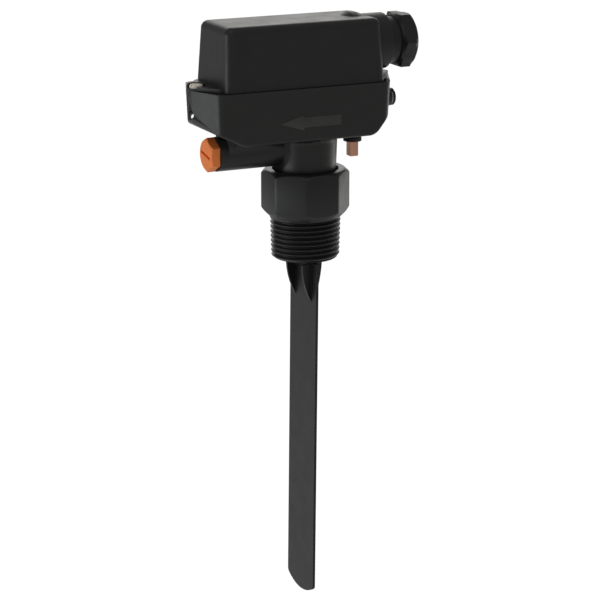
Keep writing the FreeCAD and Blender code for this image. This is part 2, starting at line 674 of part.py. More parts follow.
def bulging_end():
    """All that lies inside the left end's bulging side view, as a prism along Y."""
    bulge = LEFT_SCREW_X - EAR_R
    low = BASE_Z + LEFT_RISE
    high = RIM_TOP_Z + BITE
    right = RIGHT_EAR_X + 2 * EAR_R

    def at(x, z):
        return V(x, -BASE_DEPTH, z)

    foot = at(bulge + EAR_BULGE_FOOT, low)
    top = at(bulge + EAR_BULGE_TOP, high)
    corners = [foot, at(bulge + EAR_BULGE_FOOT, BASE_Z - BITE), at(right, BASE_Z - BITE), at(right, high), top]
    edges = [Part.makeLine(start, end) for start, end in zip(corners, corners[1:])]
    edges.append(Part.Arc(top, at(bulge, (low + high) / 2), foot).toShape())
    return Part.Face(Part.Wire(edges)).extrude(V(0, 2 * BASE_DEPTH, 0))


def base_housing():
    """Lower housing: an open tray with its neck, range barrel, screw ears and inner bosses."""
    hull = Part.makeLoft([housing_outline(BASE_Z - 1), housing_outline(SEAM_Z)], True, True)
    hull = hull.common(foot_profile()).removeSplitter()
    hull = soften(hull, FOOT_EDGE_R, lambda e: e.BoundBox.ZMax < SEAM_Z - 5 and not is_along(e, Y_AXIS))
    hull = hull.common(bulging_end())
    neck = Part.makeCone(NECK_LOW_R, NECK_HIGH_R, BASE_Z + BITE - NECK_BASE_Z, V(0, 0, NECK_BASE_Z))
    barrel = rod(BARREL_R, V(BARREL_END_X, 0, BARREL_Z), -BARREL_END_X, X_AXIS)
    web = box(BARREL_END_X + WEB_SETBACK, 0, -BARREL_R, BARREL_R, BARREL_Z, BASE_Z + LEFT_RISE)
    stem = one_solid(neck.fuse([barrel, web]))
    body = hull.fuse(soften(stem, BARREL_ROOT_R, is_barrel_root))
    body = body.fuse(rod(END_BOSS_R, V(RIGHT_EAR_X, 0, END_SCREW_Z), END_FACE_X - RIGHT_EAR_X, X_AXIS))

    cavity = Part.makeLoft([
        cavity_outline(BASE_Z - 1),
        cavity_outline(SEAM_Z + 1)], True, True).common(foot_profile(FLOOR))
    body = body.cut(cavity)
    body = body.cut(rod(NECK_BORE_R, V(0, 0, NECK_BASE_Z - 1), FLOOR_TOP_Z + 2 - NECK_BASE_Z))
    bore_length = -BARREL_END_X - NECK_BORE_R + 1
    body = body.cut(rod(BARREL_BORE_R, V(BARREL_END_X - 1, 0, BARREL_Z), bore_length, X_AXIS))
    body = body.fuse(barrel_key(CARRIER_KEY_WIDTH, CARRIER_KEY_HEIGHT))

    # bosses for the bracket, the terminal block and the push rod
    pillars = [(x, 0, PILLAR_TOP_Z) for x in BRACKET_SCREW_X]
    pillars += [(TERMINAL_X, y, TERMINAL_LOW_Z) for y in (-BLOCK_SCREW_Y, BLOCK_SCREW_Y)]
    low = FLOOR_TOP_Z - BITE
    for x, y, top in pillars:
        body = body.fuse(rod(PILLAR_R, V(x, y, low), top - low))
    body = body.fuse(rod(TEST_GUIDE_R, V(TEST_X, 0, low), TEST_GUIDE_TOP_Z - low))

    # holes
    for x, y, top in pillars:
        body = body.cut(rod(SMALL_SCREW_R, V(x, y, top - SMALL_SCREW_DEPTH), SMALL_SCREW_DEPTH + BITE))
    body = body.cut(rod(TEST_ROD_R + RUNNING, V(TEST_X, 0, BASE_Z - BITE), TEST_GUIDE_TOP_Z - BASE_Z))
    body = body.cut(rod(TEST_GUIDE_BORE_R, V(TEST_X, 0, FLOOR_TOP_Z), TEST_GUIDE_TOP_Z - FLOOR_TOP_Z + BITE))
    body = body.cut(rod(COVER_SCREW_R, V(LEFT_SCREW_X, 0, SEAM_Z - COVER_SCREW_LENGTH),
                        COVER_SCREW_LENGTH + BITE))
    body = body.cut(hook_tongue(HOOK_ROOM))
    body = body.cut(rod(END_SCREW_R, V(END_FACE_X - END_SCREW_LENGTH, 0, END_SCREW_Z),
                        END_SCREW_LENGTH + BITE, X_AXIS))
    body = body.cut(lock_wire_hole())
    # seat of the gasket, one step down inside the rim
    seat = Part.Face(cover_plan(GASKET_SEAT_Z, GASKET_INSET - HOOK_ROOM)).cut(
        Part.Face(cover_plan(GASKET_SEAT_Z, GASKET_INSET + GASKET_WIDTH + HOOK_ROOM)))
    body = body.cut(seat.extrude(V(0, 0, GASKET_THICKNESS + BITE)))
    return one_solid(body)


def is_barrel_root(edge):
    """True for the edges where the barrel and its web run into the neck."""
    bounds = edge.BoundBox
    in_reach = bounds.XMin > -NECK_HIGH_R and bounds.XMax < -BARREL_R
    stands = bounds.ZLength > BITE and NECK_BASE_Z + BITE < bounds.ZMin < BASE_Z
    return in_reach and stands


def lock_wire_hole():
    """Oval hole, set askew through the left ear's rim, for a lead seal's wire."""
    half = LOCK_HOLE_WIDTH / 2
    reach = LOCK_HOLE_HEIGHT / 2 - half
    hole = box(-half, half, -20, 20, -reach, reach)
    for z in (-reach, reach):
        hole = hole.fuse(rod(half, V(0, -20, z), 40, Y_AXIS))
    hole.rotate(V(0, 0, 0), X_AXIS, -LOCK_HOLE_SLOPE)
    hole.translate(V(-LOCK_HOLE_OFFSET, 0, LOCK_HOLE_Z))
    hole.rotate(V(0, 0, 0), Z_AXIS, -LOCK_HOLE_TURN)
    hole.translate(V(LEFT_SCREW_X, 0, 0))
    return hole


def cavity_outline(z):
    """Inner plan of the lower housing, square ended, so that the ears stay solid."""
    draft = BASE_DRAFT * (SEAM_Z - z) / (SEAM_Z - BASE_Z)
    x0 = COVER_LEFT_X + COVER_WALL + draft
    x1 = COVER_RIGHT_X - COVER_WALL - draft
    half = BASE_DEPTH / 2 - WALL - draft - 1.0
    return outline([V(x0, -half, z), V(x1, -half, z), V(x1, half, z), V(x0, half, z)])


# ================================================================= cover
def rounded_plan(x0, x1, half, radius, z):
    """A rectangle with round corners, symmetric about the X axis, at height z."""
    corners = [(x1, half, 0), (x0, half, 90), (x0, -half, 180), (x1, -half, 270)]
    edges = []
    ends = []
    for x, y, start in corners:
        cx = x - math.copysign(radius, x - (x0 + x1) / 2)
        cy = y - math.copysign(radius, y)
        points = []
        for step in (0, 45, 90):
            angle = math.radians(start + step)
            points.append(V(cx + radius * math.cos(angle), cy + radius * math.sin(angle), z))
        edges.append(Part.Arc(*points).toShape())
        ends.append((points[0], points[2]))
    ordered = []
    for k in range(4):
        ordered.append(edges[k])
        ordered.append(Part.makeLine(ends[k][1], ends[(k + 1) % 4][0]))
    return Part.Wire(ordered)


def cover_plan(z, inset=0.0):
    """Plan of the cover at a height, with its draft, pulled in by the inset."""
    share = (z - SEAM_Z) / (COVER_TOP_Z - SEAM_Z)
    ends = COVER_END_DRAFT * share + inset
    sides = COVER_SIDE_DRAFT * share + inset
    radius = max(COVER_CORNER_R - inset, 0.8)
    return rounded_plan(COVER_LEFT_X + ends, COVER_RIGHT_X - ends, COVER_DEPTH / 2 - sides, radius, z)


def cover():
    """Deep cover: a screw tab at its left end, a hook at its right end and the cable entry moulded in."""
    hull = Part.makeLoft([cover_plan(SEAM_Z), cover_plan(COVER_TOP_Z)], True, True)
    hull = soften(hull, COVER_EDGE_R, lambda e: e.BoundBox.ZMin > COVER_TOP_Z - HAIRLINE)
    body = hull.fuse([cover_tab(), hook_tongue(0.0), entry_hump(), entry_rod(ENTRY_R, ENTRY_END_X),
                      entry_rod(SPOUT_R, SPOUT_END_X)])
    inner = Part.makeLoft([
        cover_plan(SEAM_Z - BITE, COVER_WALL),
        cover_plan(COVER_TOP_Z - COVER_WALL, COVER_WALL)], True, True)
    body = body.cut(inner)
    # a shallow cone is scooped out of the end round the collar, with a wall of its own behind it
    start = COVER_RIGHT_X - RECESS_START
    funnel = entry_ring([
        (ENTRY_R - COVER_WALL, start),
        (ENTRY_R + RECESS_WALL, start),
        (ENTRY_R + RECESS_WIDTH + RECESS_WALL, COVER_RIGHT_X),
        (ENTRY_R - COVER_WALL, COVER_RIGHT_X)])
    body = body.fuse(funnel.common(hull))
    body = body.cut(entry_ring([
        (ENTRY_R, start),
        (ENTRY_R + RECESS_WIDTH, COVER_RIGHT_X),
        (ENTRY_R + RECESS_WIDTH, COVER_RIGHT_X + BITE),
        (ENTRY_R, COVER_RIGHT_X + BITE)]))
    body = body.cut(rod(ENTRY_THROAT_R, V(HUMP_START_X, 0, ENTRY_Z), SPOUT_END_X - HUMP_START_X + BITE, X_AXIS))
    body = body.cut(rod(ENTRY_BORE_R, V(ENTRY_THROAT_X, 0, ENTRY_Z), SPOUT_END_X - ENTRY_THROAT_X + BITE, X_AXIS))
    body = body.cut(rod(COVER_SCREW_R + HOLE_ROOM, V(LEFT_SCREW_X, 0, SEAM_Z - BITE), RIM_HEIGHT + 2 * BITE))
    return one_solid(body)


def cover_tab():
    """Flange that reaches out to both ears, with an open rim round the sunk screw at the left."""
    seat_z = SEAM_Z + COVER_SCREW_SEAT
    pocket_r = COVER_SCREW_HEAD_R + SEAT_GAP
    flange = Part.Face(ear_hull(COVER_LEFT_X - TAB_INSET_END, COVER_RIGHT_X + HOOK_SETBACK,
                                COVER_DEPTH / 2 - TAB_INSET_SIDE, EAR_R - HOLE_ROOM, COVER_CORNER_R, SEAM_Z))
    tab = flange.extrude(V(0, 0, COVER_TAB))
    tab = tab.fuse(rod(pocket_r + TAB_RIM_WALL, V(LEFT_SCREW_X, 0, SEAM_Z), RIM_HEIGHT))
    tab = tab.cut(rod(pocket_r, V(LEFT_SCREW_X, 0, seat_z), RIM_HEIGHT + BITE))
    reach = 2 * BASE_DEPTH
    window = box(-reach, reach, -reach, 0, seat_z, RIM_TOP_Z + BITE)
    window = window.common(rod(pocket_r + TAB_RIM_WALL + BITE, V(0, 0, seat_z), RIM_HEIGHT + BITE))
    window.rotate(V(0, 0, 0), Z_AXIS, -RIM_WINDOW_TURN)
    window.translate(V(LEFT_SCREW_X, 0, 0))
    return tab.cut(window).common(bulging_end())


def entry_rod(radius, end_x):
    """A round bar on the entry's axis from the hump to end_x."""
    start = HUMP_START_X + HUMP_FLARE
    return rod(radius, V(start, 0, ENTRY_Z), end_x - start, X_AXIS)


def entry_ring(profile):
    """A ring on the entry's axis from (radius, X) pairs."""
    return revolve(profile, V(0, 0, ENTRY_Z), X_AXIS)


def entry_hump():
    """Low hump on the roof over the inner end of the entry, flared at its start and falling to the collar."""
    flat_x = HUMP_START_X + HUMP_FLARE
    fall_x = flat_x + HUMP_FLAT
    end_x = fall_x + HUMP_FALL
    return entry_ring([
        (0, HUMP_START_X),
        (HUMP_START_R, HUMP_START_X),
        (HUMP_R, flat_x),
        (HUMP_R, fall_x),
        (ENTRY_R, end_x),
        (0, end_x)])


def hook_tongue(room):
    """Tongue with a nib that hooks the cover's right end into the housing, grown by the room."""
    x0 = COVER_RIGHT_X + HOOK_SETBACK
    side = HOOK_WIDTH / 2 + room
    low = SEAM_Z - HOOK_DEPTH - room
    tongue = box(x0 - room, x0 + HOOK_SHEET + room, -side, side, low, SEAM_Z + 0.5)
    nib = box(x0 - room, x0 + HOOK_SHEET + HOOK_NIB + room, -side, side,
              low, low + HOOK_NIB_HEIGHT + 2 * room)
    return tongue.fuse(nib)


def cover_gasket():
    ring = Part.Face(cover_plan(GASKET_SEAT_Z, GASKET_INSET)).cut(
        Part.Face(cover_plan(GASKET_SEAT_Z, GASKET_INSET + GASKET_WIDTH)))
    return one_solid(ring.extrude(V(0, 0, GASKET_THICKNESS)))


def cover_screw():
    one = screw(COVER_SCREW_HEAD_R, COVER_SCREW_HEAD, COVER_SCREW_R, COVER_SCREW_LENGTH - 0.5)
    return placed(one, V(LEFT_SCREW_X, 0, SEAM_Z + COVER_SCREW_SEAT), Z_AXIS, 20)


# ================================================================= cable entry
def gland_seal():
    """Rubber bush that the cable passes through."""
    return revolve([
        (CABLE_R, ENTRY_THROAT_X),
        (ENTRY_BORE_R - LOOSE, ENTRY_THROAT_X),
        (ENTRY_BORE_R - LOOSE, SEAL_END_X),
        (CABLE_R, SEAL_END_X)], V(0, 0, ENTRY_Z), X_AXIS)


def gland_washer():
    """Thrust washer between the nut and the rubber bush."""
    return tube(ENTRY_BORE_R - LOOSE, NUT_HOLE_R, V(SEAL_END_X, 0, ENTRY_Z), GLAND_WASHER, X_AXIS)


def gland_nut():
    """Hexagon nut with a domed outer end, screwed over the entry's spout."""
    length = NUT_LENGTH
    corner_r = NUT_AF / math.sqrt(3) + HAIRLINE
    nut = hexagon_bar(NUT_AF, V(NUT_START_X, 0, ENTRY_Z), length, X_AXIS, 30)
    crown = revolve([
        (0, 0),
        (NUT_AF / 2, 0),
        (corner_r, NUT_FACE_CHAMFER),
        (corner_r, length - NUT_CROWN),
        (NUT_AF / 2 - 0.6, length - 0.5),
        (NUT_AF / 2 - 1.6, length),
        (0, length)], V(NUT_START_X, 0, ENTRY_Z), X_AXIS)
    nut = nut.common(crown)
    skirt_x = ENTRY_END_X + HAIRLINE
    nut = nut.fuse(rod(GROOVE_R, V(skirt_x, 0, ENTRY_Z), NUT_START_X + BITE - skirt_x, X_AXIS))
    nut = nut.cut(rod(SPOUT_R, V(ENTRY_END_X, 0, ENTRY_Z), CLAMP_END_X - ENTRY_END_X, X_AXIS))
    nut = nut.cut(rod(NUT_HOLE_R, V(ENTRY_END_X, 0, ENTRY_Z), NUT_END_X + BITE - ENTRY_END_X, X_AXIS))
    return one_solid(nut)


# ================================================================= range adjuster
def adjusting_cap():
    """Slotted hexagon cap on a spigot that carries the lead screw."""
    cap = hexagon_bar(CAP_HEX_AF, V(CAP_FACE_X, 0, BARREL_Z), CAP_THICKNESS, X_AXIS, 0)
    dome = revolve([
        (0, 0),
        (CAP_HEX_AF / 2 - 0.4, 0),
        (CAP_HEX_AF / 2 + 1.6, 1.2),
        (CAP_HEX_AF / 2 + 1.6, CAP_THICKNESS),
        (0, CAP_THICKNESS)], V(CAP_FACE_X, 0, BARREL_Z), X_AXIS)
    cap = cap.common(dome)
    slot = box(CAP_FACE_X - 1, CAP_FACE_X + CAP_SLOT_DEPTH, -5.2, 5.2,
               BARREL_Z - CAP_SLOT_WIDTH / 2, BARREL_Z + CAP_SLOT_WIDTH / 2)
    slot.rotate(V(CAP_FACE_X, 0, BARREL_Z), X_AXIS, 12)
    cap = cap.cut(slot)
    spigot = rod(BARREL_BORE_R - SLIDING, V(CAP_FACE_X + CAP_THICKNESS - 0.5, 0, BARREL_Z),
                 CAP_SPIGOT_LENGTH + 0.5, X_AXIS)
    groove_half = CAP_SEAL_HALF + RUNNING
    groove = tube(BARREL_BORE_R, CAP_SEAL_R - groove_half, V(CAP_SEAL_X - groove_half, 0, BARREL_Z),
                  2 * groove_half, X_AXIS)
    spigot = spigot.cut(groove)
    start = CAP_FACE_X + CAP_THICKNESS
    lead = rod(LEAD_SCREW_R, V(start, 0, BARREL_Z), BIAS_MAGNET_X - SEAT_GAP - start, X_AXIS)
    return one_solid(cap.fuse([spigot, lead]))


def cap_seal():
    """Square-section seal ring with bevelled corners, in the groove of the cap's spigot."""
    half = CAP_SEAL_HALF
    flat = half * (math.sqrt(2) - 1)
    section = [(-half, -flat), (-flat, -half), (flat, -half), (half, -flat),
               (half, flat), (flat, half), (-flat, half), (-half, flat)]
    return revolve([(CAP_SEAL_R + r, h) for r, h in section], V(CAP_SEAL_X, 0, BARREL_Z), X_AXIS)


def magnet_carrier():
    """Slides in the barrel on the lead screw.  A keyway in its underside keeps it from turning."""
    body = rod(BARREL_BORE_R - SLIDING, V(CARRIER_START_X, 0, BARREL_Z), CARRIER_LENGTH, X_AXIS)
    body = body.cut(rod(LEAD_SCREW_R + RUNNING, V(CARRIER_START_X, 0, BARREL_Z), CARRIER_LENGTH, X_AXIS))
    body = body.cut(rod(BIAS_MAGNET_R, V(BIAS_MAGNET_X, 0, BARREL_Z), BIAS_MAGNET_LENGTH, X_AXIS))
    body = body.cut(barrel_key(CARRIER_KEY_WIDTH + 4 * SLIDING, CARRIER_KEY_HEIGHT + 4 * SLIDING))
    return one_solid(body)


def barrel_key(width, height):
    """Rib along the foot of the barrel's bore, under the whole travel of the carrier."""
    foot = BARREL_Z - BARREL_BORE_R
    end = CARRIER_START_X + CARRIER_LENGTH + RANGE_TRAVEL
    return box(CARRIER_START_X, end, -width / 2, width / 2, foot - BITE / 2, foot + height)


def bias_magnet():
    return rod(BIAS_MAGNET_R, V(BIAS_MAGNET_X, 0, BARREL_Z), BIAS_MAGNET_LENGTH, X_AXIS)


# ================================================================= test push rod
def test_button():
    """Square metal button, pressed on the rod's lower end."""
    half = TEST_POST_AF / 2
    body = box(TEST_X - half, TEST_X + half, -half, half, TEST_POST_END_Z, TEST_POST_TOP_Z)
    body = body.makeChamfer(0.35, edges_where(body, lambda e: e.BoundBox.ZMax < TEST_POST_END_Z + 0.01))
    socket = rod(TEST_ROD_R, V(TEST_X, 0, TEST_ROD_LOW_Z), TEST_POST_TOP_Z - TEST_ROD_LOW_Z)
    return one_solid(body.cut(socket))


def test_rod():
    """Round rod with a shoulder that its return spring pushes down on."""
    stem = rod(TEST_ROD_R, V(TEST_X, 0, TEST_ROD_LOW_Z), TEST_ROD_TOP_Z - TEST_ROD_LOW_Z)
    shoulder = rod(TEST_SPRING_R, V(TEST_X, 0, TEST_SHOULDER_Z), TEST_SHOULDER)
    return one_solid(stem.fuse(shoulder))


def test_collar():
    """Rubber collar that seals the push rod under the housing."""
    hole = TEST_POST_AF / 2 * math.sqrt(2) + SEAT_GAP / 2
    return revolve([
        (hole, TEST_COLLAR_LOW_Z),
        (TEST_COLLAR_R, TEST_COLLAR_LOW_Z),
        (TEST_COLLAR_R, TEST_COLLAR_LOW_Z + 1.6),
        (TEST_COLLAR_R - 0.7, TEST_COLLAR_LOW_Z + 2.6),
        (TEST_COLLAR_R - 0.7, BASE_Z),
        (hole, BASE_Z)], V(TEST_X, 0, 0))


def helix_spring(radius, wire, start_z, length, turns):
    """Compression spring: a wire of hexagonal section swept along a helix."""
    path = Part.makeHelix(length / turns, length, radius)
    points = []
    for k in range(WIRE_SIDES):
        angle = 2 * math.pi * (k + 0.5) / WIRE_SIDES
        points.append(V(radius + wire * math.cos(angle), 0, wire * math.sin(angle)))
    spring = Part.Wire(path).makePipeShell([outline(points)], True, True)
    spring.translate(V(TEST_X, 0, start_z))
    return spring


def test_spring():
    wire = TEST_SPRING_WIRE_R
    low = TEST_SHOULDER_Z + TEST_SHOULDER + wire + HAIRLINE
    high = TEST_RETAINER_Z - wire - HAIRLINE
    return helix_spring(TEST_SPRING_R - wire, wire, low, high - low, TEST_SPRING_TURNS)


def test_retainer():
    """Washer pressed into the top of the rod's guide, over the spring."""
    return tube(TEST_GUIDE_BORE_R, TEST_ROD_R + LOOSE, V(TEST_X, 0, TEST_RETAINER_Z), TEST_RETAINER)


# ================================================================= earth screw
def end_washer():
    return tube(END_WASHER_R, END_SCREW_R + HOLE_ROOM, V(END_FACE_X, 0, END_SCREW_Z), END_WASHER, X_AXIS)


def end_screw():
    one = screw(END_SCREW_HEAD_R, END_SCREW_HEAD, END_SCREW_R, END_SCREW_LENGTH, 1.0)
    return placed(one, V(END_FACE_X + END_WASHER, 0, END_SCREW_Z), X_AXIS, 30)


# ================================================================= switch mechanism
def switch_bracket():
    """Bent sheet bracket: a web on the floor, two ears that hold the pivot and the switch."""
    web = box(BRACKET_SCREW_X[0] - BRACKET_MARGIN, BRACKET_SCREW_X[1] + BRACKET_MARGIN,
              -BRACKET_OUT_Y, BRACKET_OUT_Y, PILLAR_TOP_Z, BRACKET_TOP_Z)
    web = soften(web, BRACKET_CORNER_R, lambda e: is_along(e, Z_AXIS))
    well_half = FOLLOWER_WIDTH / 2 + 2 * SEAT_GAP
    well = box(-BRACKET_WELL_X, BRACKET_WELL_X, -well_half, well_half,
               PILLAR_TOP_Z - BITE, BRACKET_TOP_Z + BITE)
    body = web.cut(well)
    left = SWITCH_LEFT_X - BRACKET_BORDER
    right = SWITCH_RIGHT_X + BRACKET_BORDER
    top = SWITCH_LOW_Z + SWITCH_HEIGHT
    for y in (-BRACKET_OUT_Y, BRACKET_GAP / 2):
        ear = prism([
            V(-BRACKET_FOOT_X, y, PILLAR_TOP_Z),
            V(-BRACKET_FOOT_X, y, FOLLOWER_Z - BRACKET_SHOULDER),
            V(left, y, FOLLOWER_Z),
            V(left, y, top),
            V(right, y, top),
            V(right, y, SWITCH_LOW_Z),
            V(BRACKET_FOOT_X, y, FOLLOWER_Z - BRACKET_SHOULDER),
            V(BRACKET_FOOT_X, y, PILLAR_TOP_Z)], V(0, BRACKET_SHEET, 0))
        ear = soften(ear, BRACKET_CORNER_R,
                     lambda e: is_along(e, Y_AXIS) and e.BoundBox.ZMin > BRACKET_TOP_Z)
        body = body.fuse(ear)
    # an oblong window lightens each ear under the pivot
    half = BRACKET_FOOT_X - BRACKET_MARGIN
    window = box(-half, half, -2 * BRACKET_OUT_Y, 2 * BRACKET_OUT_Y,
                 BRACKET_TOP_Z + BRACKET_CORNER_R, FOLLOWER_Z - BRACKET_SHOULDER)
    window = soften(window, BRACKET_CORNER_R, lambda e: is_along(e, Y_AXIS))
    body = body.cut(window)
    body = body.cut(across(FOLLOWER_PIN_R, 0, FOLLOWER_Z))
    for x in SWITCH_HOLE_X:
        body = body.cut(across(SMALL_SCREW_R + HOLE_ROOM, x, SWITCH_HOLE_Z))
    for x in BRACKET_SCREW_X:
        hole = rod(SMALL_SCREW_R + HOLE_ROOM, V(x, 0, PILLAR_TOP_Z - BITE), BRACKET_SHEET + 2 * BITE)
        body = body.cut(hole)
    return one_solid(body)


def across(radius, x, z):
    """A cutter along Y right through the mechanism."""
    return rod(radius, V(x, -BASE_DEPTH / 2, z), BASE_DEPTH, Y_AXIS)


def small_screw(grip):
    """A small screw whose head stands on sheet or moulding of the given thickness."""
    length = grip + SMALL_SCREW_DEPTH - SEAT_GAP
    return screw(SMALL_SCREW_HEAD_R, SMALL_SCREW_HEAD, SMALL_SCREW_R, length)


def bracket_screws():
    one = small_screw(BRACKET_SHEET)
    return Part.makeCompound([placed(one, V(x, 0, BRACKET_TOP_Z), Z_AXIS, 25) for x in BRACKET_SCREW_X])


def follower_pin():
    reach = BRACKET_OUT_Y + FOLLOWER_PIN_PROUD
    return rod(FOLLOWER_PIN_R, V(0, -reach, FOLLOWER_Z), 2 * reach, Y_AXIS)


def follower_lever():
    """Lever that hangs over the well, with the magnet below and a nose under the plunger."""
    half = FOLLOWER_WIDTH / 2
    hub = rod(FOLLOWER_HUB_R, V(0, -half, FOLLOWER_Z), FOLLOWER_WIDTH, Y_AXIS)
    magnet_top = FOLLOWER_MAGNET_LOW_Z + FOLLOWER_MAGNET_LENGTH
    arm_y = half - MAGNET_CUP_WALL
    arm = prism([
        V(-FOLLOWER_ARM_HIGH_R, -arm_y, FOLLOWER_Z),
        V(FOLLOWER_ARM_HIGH_R, -arm_y, FOLLOWER_Z),
        V(FOLLOWER_ARM_LOW_R, -arm_y, magnet_top),
        V(-FOLLOWER_ARM_LOW_R, -arm_y, magnet_top)], V(0, 2 * arm_y, 0))
    cup = rod(FOLLOWER_MAGNET_R + MAGNET_CUP_WALL, V(0, 0, FOLLOWER_MAGNET_LOW_Z),
              FOLLOWER_MAGNET_LENGTH + MAGNET_CUP_WALL)
    nose_half = FOLLOWER_NOSE_WIDTH / 2
    finger = prism([
        V(0, -nose_half, FOLLOWER_Z + FOLLOWER_NOSE_R),
        V(FOLLOWER_NOSE_X, -nose_half, FOLLOWER_Z + FOLLOWER_NOSE_R),
        V(FOLLOWER_NOSE_X, -nose_half, FOLLOWER_Z - FOLLOWER_NOSE_R),
        V(0, -nose_half, FOLLOWER_Z - FOLLOWER_HUB_R)], V(0, FOLLOWER_NOSE_WIDTH, 0))
    nose = rod(FOLLOWER_NOSE_R, V(FOLLOWER_NOSE_X, -nose_half, FOLLOWER_Z), FOLLOWER_NOSE_WIDTH, Y_AXIS)
    # a longer finger passes under the switch and lies over the push rod
    finger_top = FOLLOWER_Z - TEST_FINGER_TOP_DROP
    finger_end = TEST_X + TEST_FINGER_END
    reach = prism([
        V(0, -TEST_ROD_R, finger_top),
        V(finger_end, -TEST_ROD_R, finger_top),
        V(finger_end, -TEST_ROD_R, FOLLOWER_Z - TEST_FINGER_DROP),
        V(0, -TEST_ROD_R, FOLLOWER_Z - FOLLOWER_HUB_R)], V(0, 2 * TEST_ROD_R, 0))
    body = hub.fuse([arm, cup, finger, nose, reach])
    body = body.cut(rod(FOLLOWER_MAGNET_R, V(0, 0, FOLLOWER_MAGNET_LOW_Z), FOLLOWER_MAGNET_LENGTH))
    body = body.cut(across(FOLLOWER_PIN_R + RUNNING, 0, FOLLOWER_Z))
    return one_solid(body)


def follower_magnet():
    return rod(FOLLOWER_MAGNET_R, V(0, 0, FOLLOWER_MAGNET_LOW_Z), FOLLOWER_MAGNET_LENGTH)


def snap_switch():
    """Miniature snap switch, upside down, with three tabs on its top."""
    half = SWITCH_WIDTH / 2
    top = SWITCH_LOW_Z + SWITCH_HEIGHT
    case = box(SWITCH_LEFT_X, SWITCH_RIGHT_X, -half, half, SWITCH_LOW_Z, top)
    case = soften(case, SWITCH_EDGE_R, lambda e: is_along(e, Y_AXIS))
    case = case.cut(rod(PLUNGER_R + RUNNING, V(FOLLOWER_NOSE_X, 0, SWITCH_LOW_Z - BITE), PLUNGER_BORE + BITE))
    for x in SWITCH_HOLE_X:
        case = case.cut(across(SMALL_SCREW_R + HOLE_ROOM, x, SWITCH_HOLE_Z))
    for x in (SWITCH_LEFT_X + TAB_INSET, SWITCH_MID_X, SWITCH_RIGHT_X - TAB_INSET):
        tab = box(x - TAB_SHEET / 2, x + TAB_SHEET / 2, -TAB_WIDTH / 2, TAB_WIDTH / 2,
                  top - BITE, top + TAB_LENGTH)
        tab = tab.cut(rod(TAB_HOLE_R, V(x - TAB_SHEET, 0, top + TAB_HOLE_UP), 2 * TAB_SHEET, X_AXIS))
        case = case.fuse(tab)
    return one_solid(case)


def switch_plunger():
    low = FOLLOWER_Z + FOLLOWER_NOSE_R + SEAT_GAP
    body = rod(PLUNGER_R, V(FOLLOWER_NOSE_X, 0, low), SWITCH_LOW_Z + PLUNGER_LENGTH_INSIDE - low)
    return soften(body, PLUNGER_R / 3, lambda e: e.BoundBox.ZMax < low + HAIRLINE)


def switch_screws():
    """Two long screws through both ears and the switch, each with a nut at the back."""
    length = BRACKET_GAP + 2 * BRACKET_SHEET + SWITCH_NUT
    one = screw(SMALL_SCREW_HEAD_R, SMALL_SCREW_HEAD, SMALL_SCREW_R, length)
    front = V(0, -1, 0)
    return Part.makeCompound([placed(one, V(x, -BRACKET_OUT_Y, SWITCH_HOLE_Z), front) for x in SWITCH_HOLE_X])


def switch_nuts():
    nuts = []
    for x in SWITCH_HOLE_X:
        nut = hexagon_bar(SWITCH_NUT_AF, V(x, BRACKET_OUT_Y, SWITCH_HOLE_Z), SWITCH_NUT, Y_AXIS)
        nuts.append(one_solid(nut.cut(across(SMALL_SCREW_R, x, SWITCH_HOLE_Z))))
    return Part.makeCompound(nuts)


# ================================================================= terminals
def terminal_block():
    """Three-way block with barriers between its ways and a screwed foot at each end."""
    x0 = TERMINAL_X - TERMINAL_LENGTH / 2
    x1 = TERMINAL_X + TERMINAL_LENGTH / 2
    top = TERMINAL_LOW_Z + TERMINAL_BODY
    body = box(x0, x1, -TERMINAL_HALF, TERMINAL_HALF, TERMINAL_LOW_Z, top)
    for k in range(TERMINAL_WAYS + 1):
        y = -TERMINAL_HALF + k * TERMINAL_PITCH
        y0 = max(y - TERMINAL_WALL / 2, -TERMINAL_HALF)
        y1 = min(y + TERMINAL_WALL / 2, TERMINAL_HALF)
        body = body.fuse(box(x0, x1, y0, y1, top - BITE, top + TERMINAL_BARRIER))
    foot = box(TERMINAL_X - SMALL_SCREW_HEAD_R, TERMINAL_X + SMALL_SCREW_HEAD_R,
               -BLOCK_SCREW_Y, BLOCK_SCREW_Y, TERMINAL_LOW_Z, TERMINAL_LOW_Z + TERMINAL_FOOT)
    for y in (-BLOCK_SCREW_Y, BLOCK_SCREW_Y):
        foot = foot.fuse(rod(SMALL_SCREW_HEAD_R, V(TERMINAL_X, y, TERMINAL_LOW_Z), TERMINAL_FOOT))
    body = body.fuse(foot)
    for y in (-BLOCK_SCREW_Y, BLOCK_SCREW_Y):
        body = body.cut(rod(SMALL_SCREW_R + HOLE_ROOM, V(TERMINAL_X, y, TERMINAL_LOW_Z), TERMINAL_FOOT))
    for y in TERMINAL_WAY_Y:
        body = body.cut(cage_space(y, TERMINAL_LENGTH + 2 * BITE))
        body = body.cut(rod(CAGE_SCREW_HEAD_R + HOLE_ROOM, V(TERMINAL_X, y, cage_top()), TERMINAL_BODY))
    return one_solid(body)


def cage_top():
    return TERMINAL_LOW_Z + CAGE_UP + CAGE_HEIGHT


def cage_space(y, length):
    """The square tunnel that a way's cage sits in, of the given length."""
    return box(TERMINAL_X - length / 2, TERMINAL_X + length / 2, y - CAGE_WIDTH / 2, y + CAGE_WIDTH / 2,
               TERMINAL_LOW_Z + CAGE_UP, cage_top())


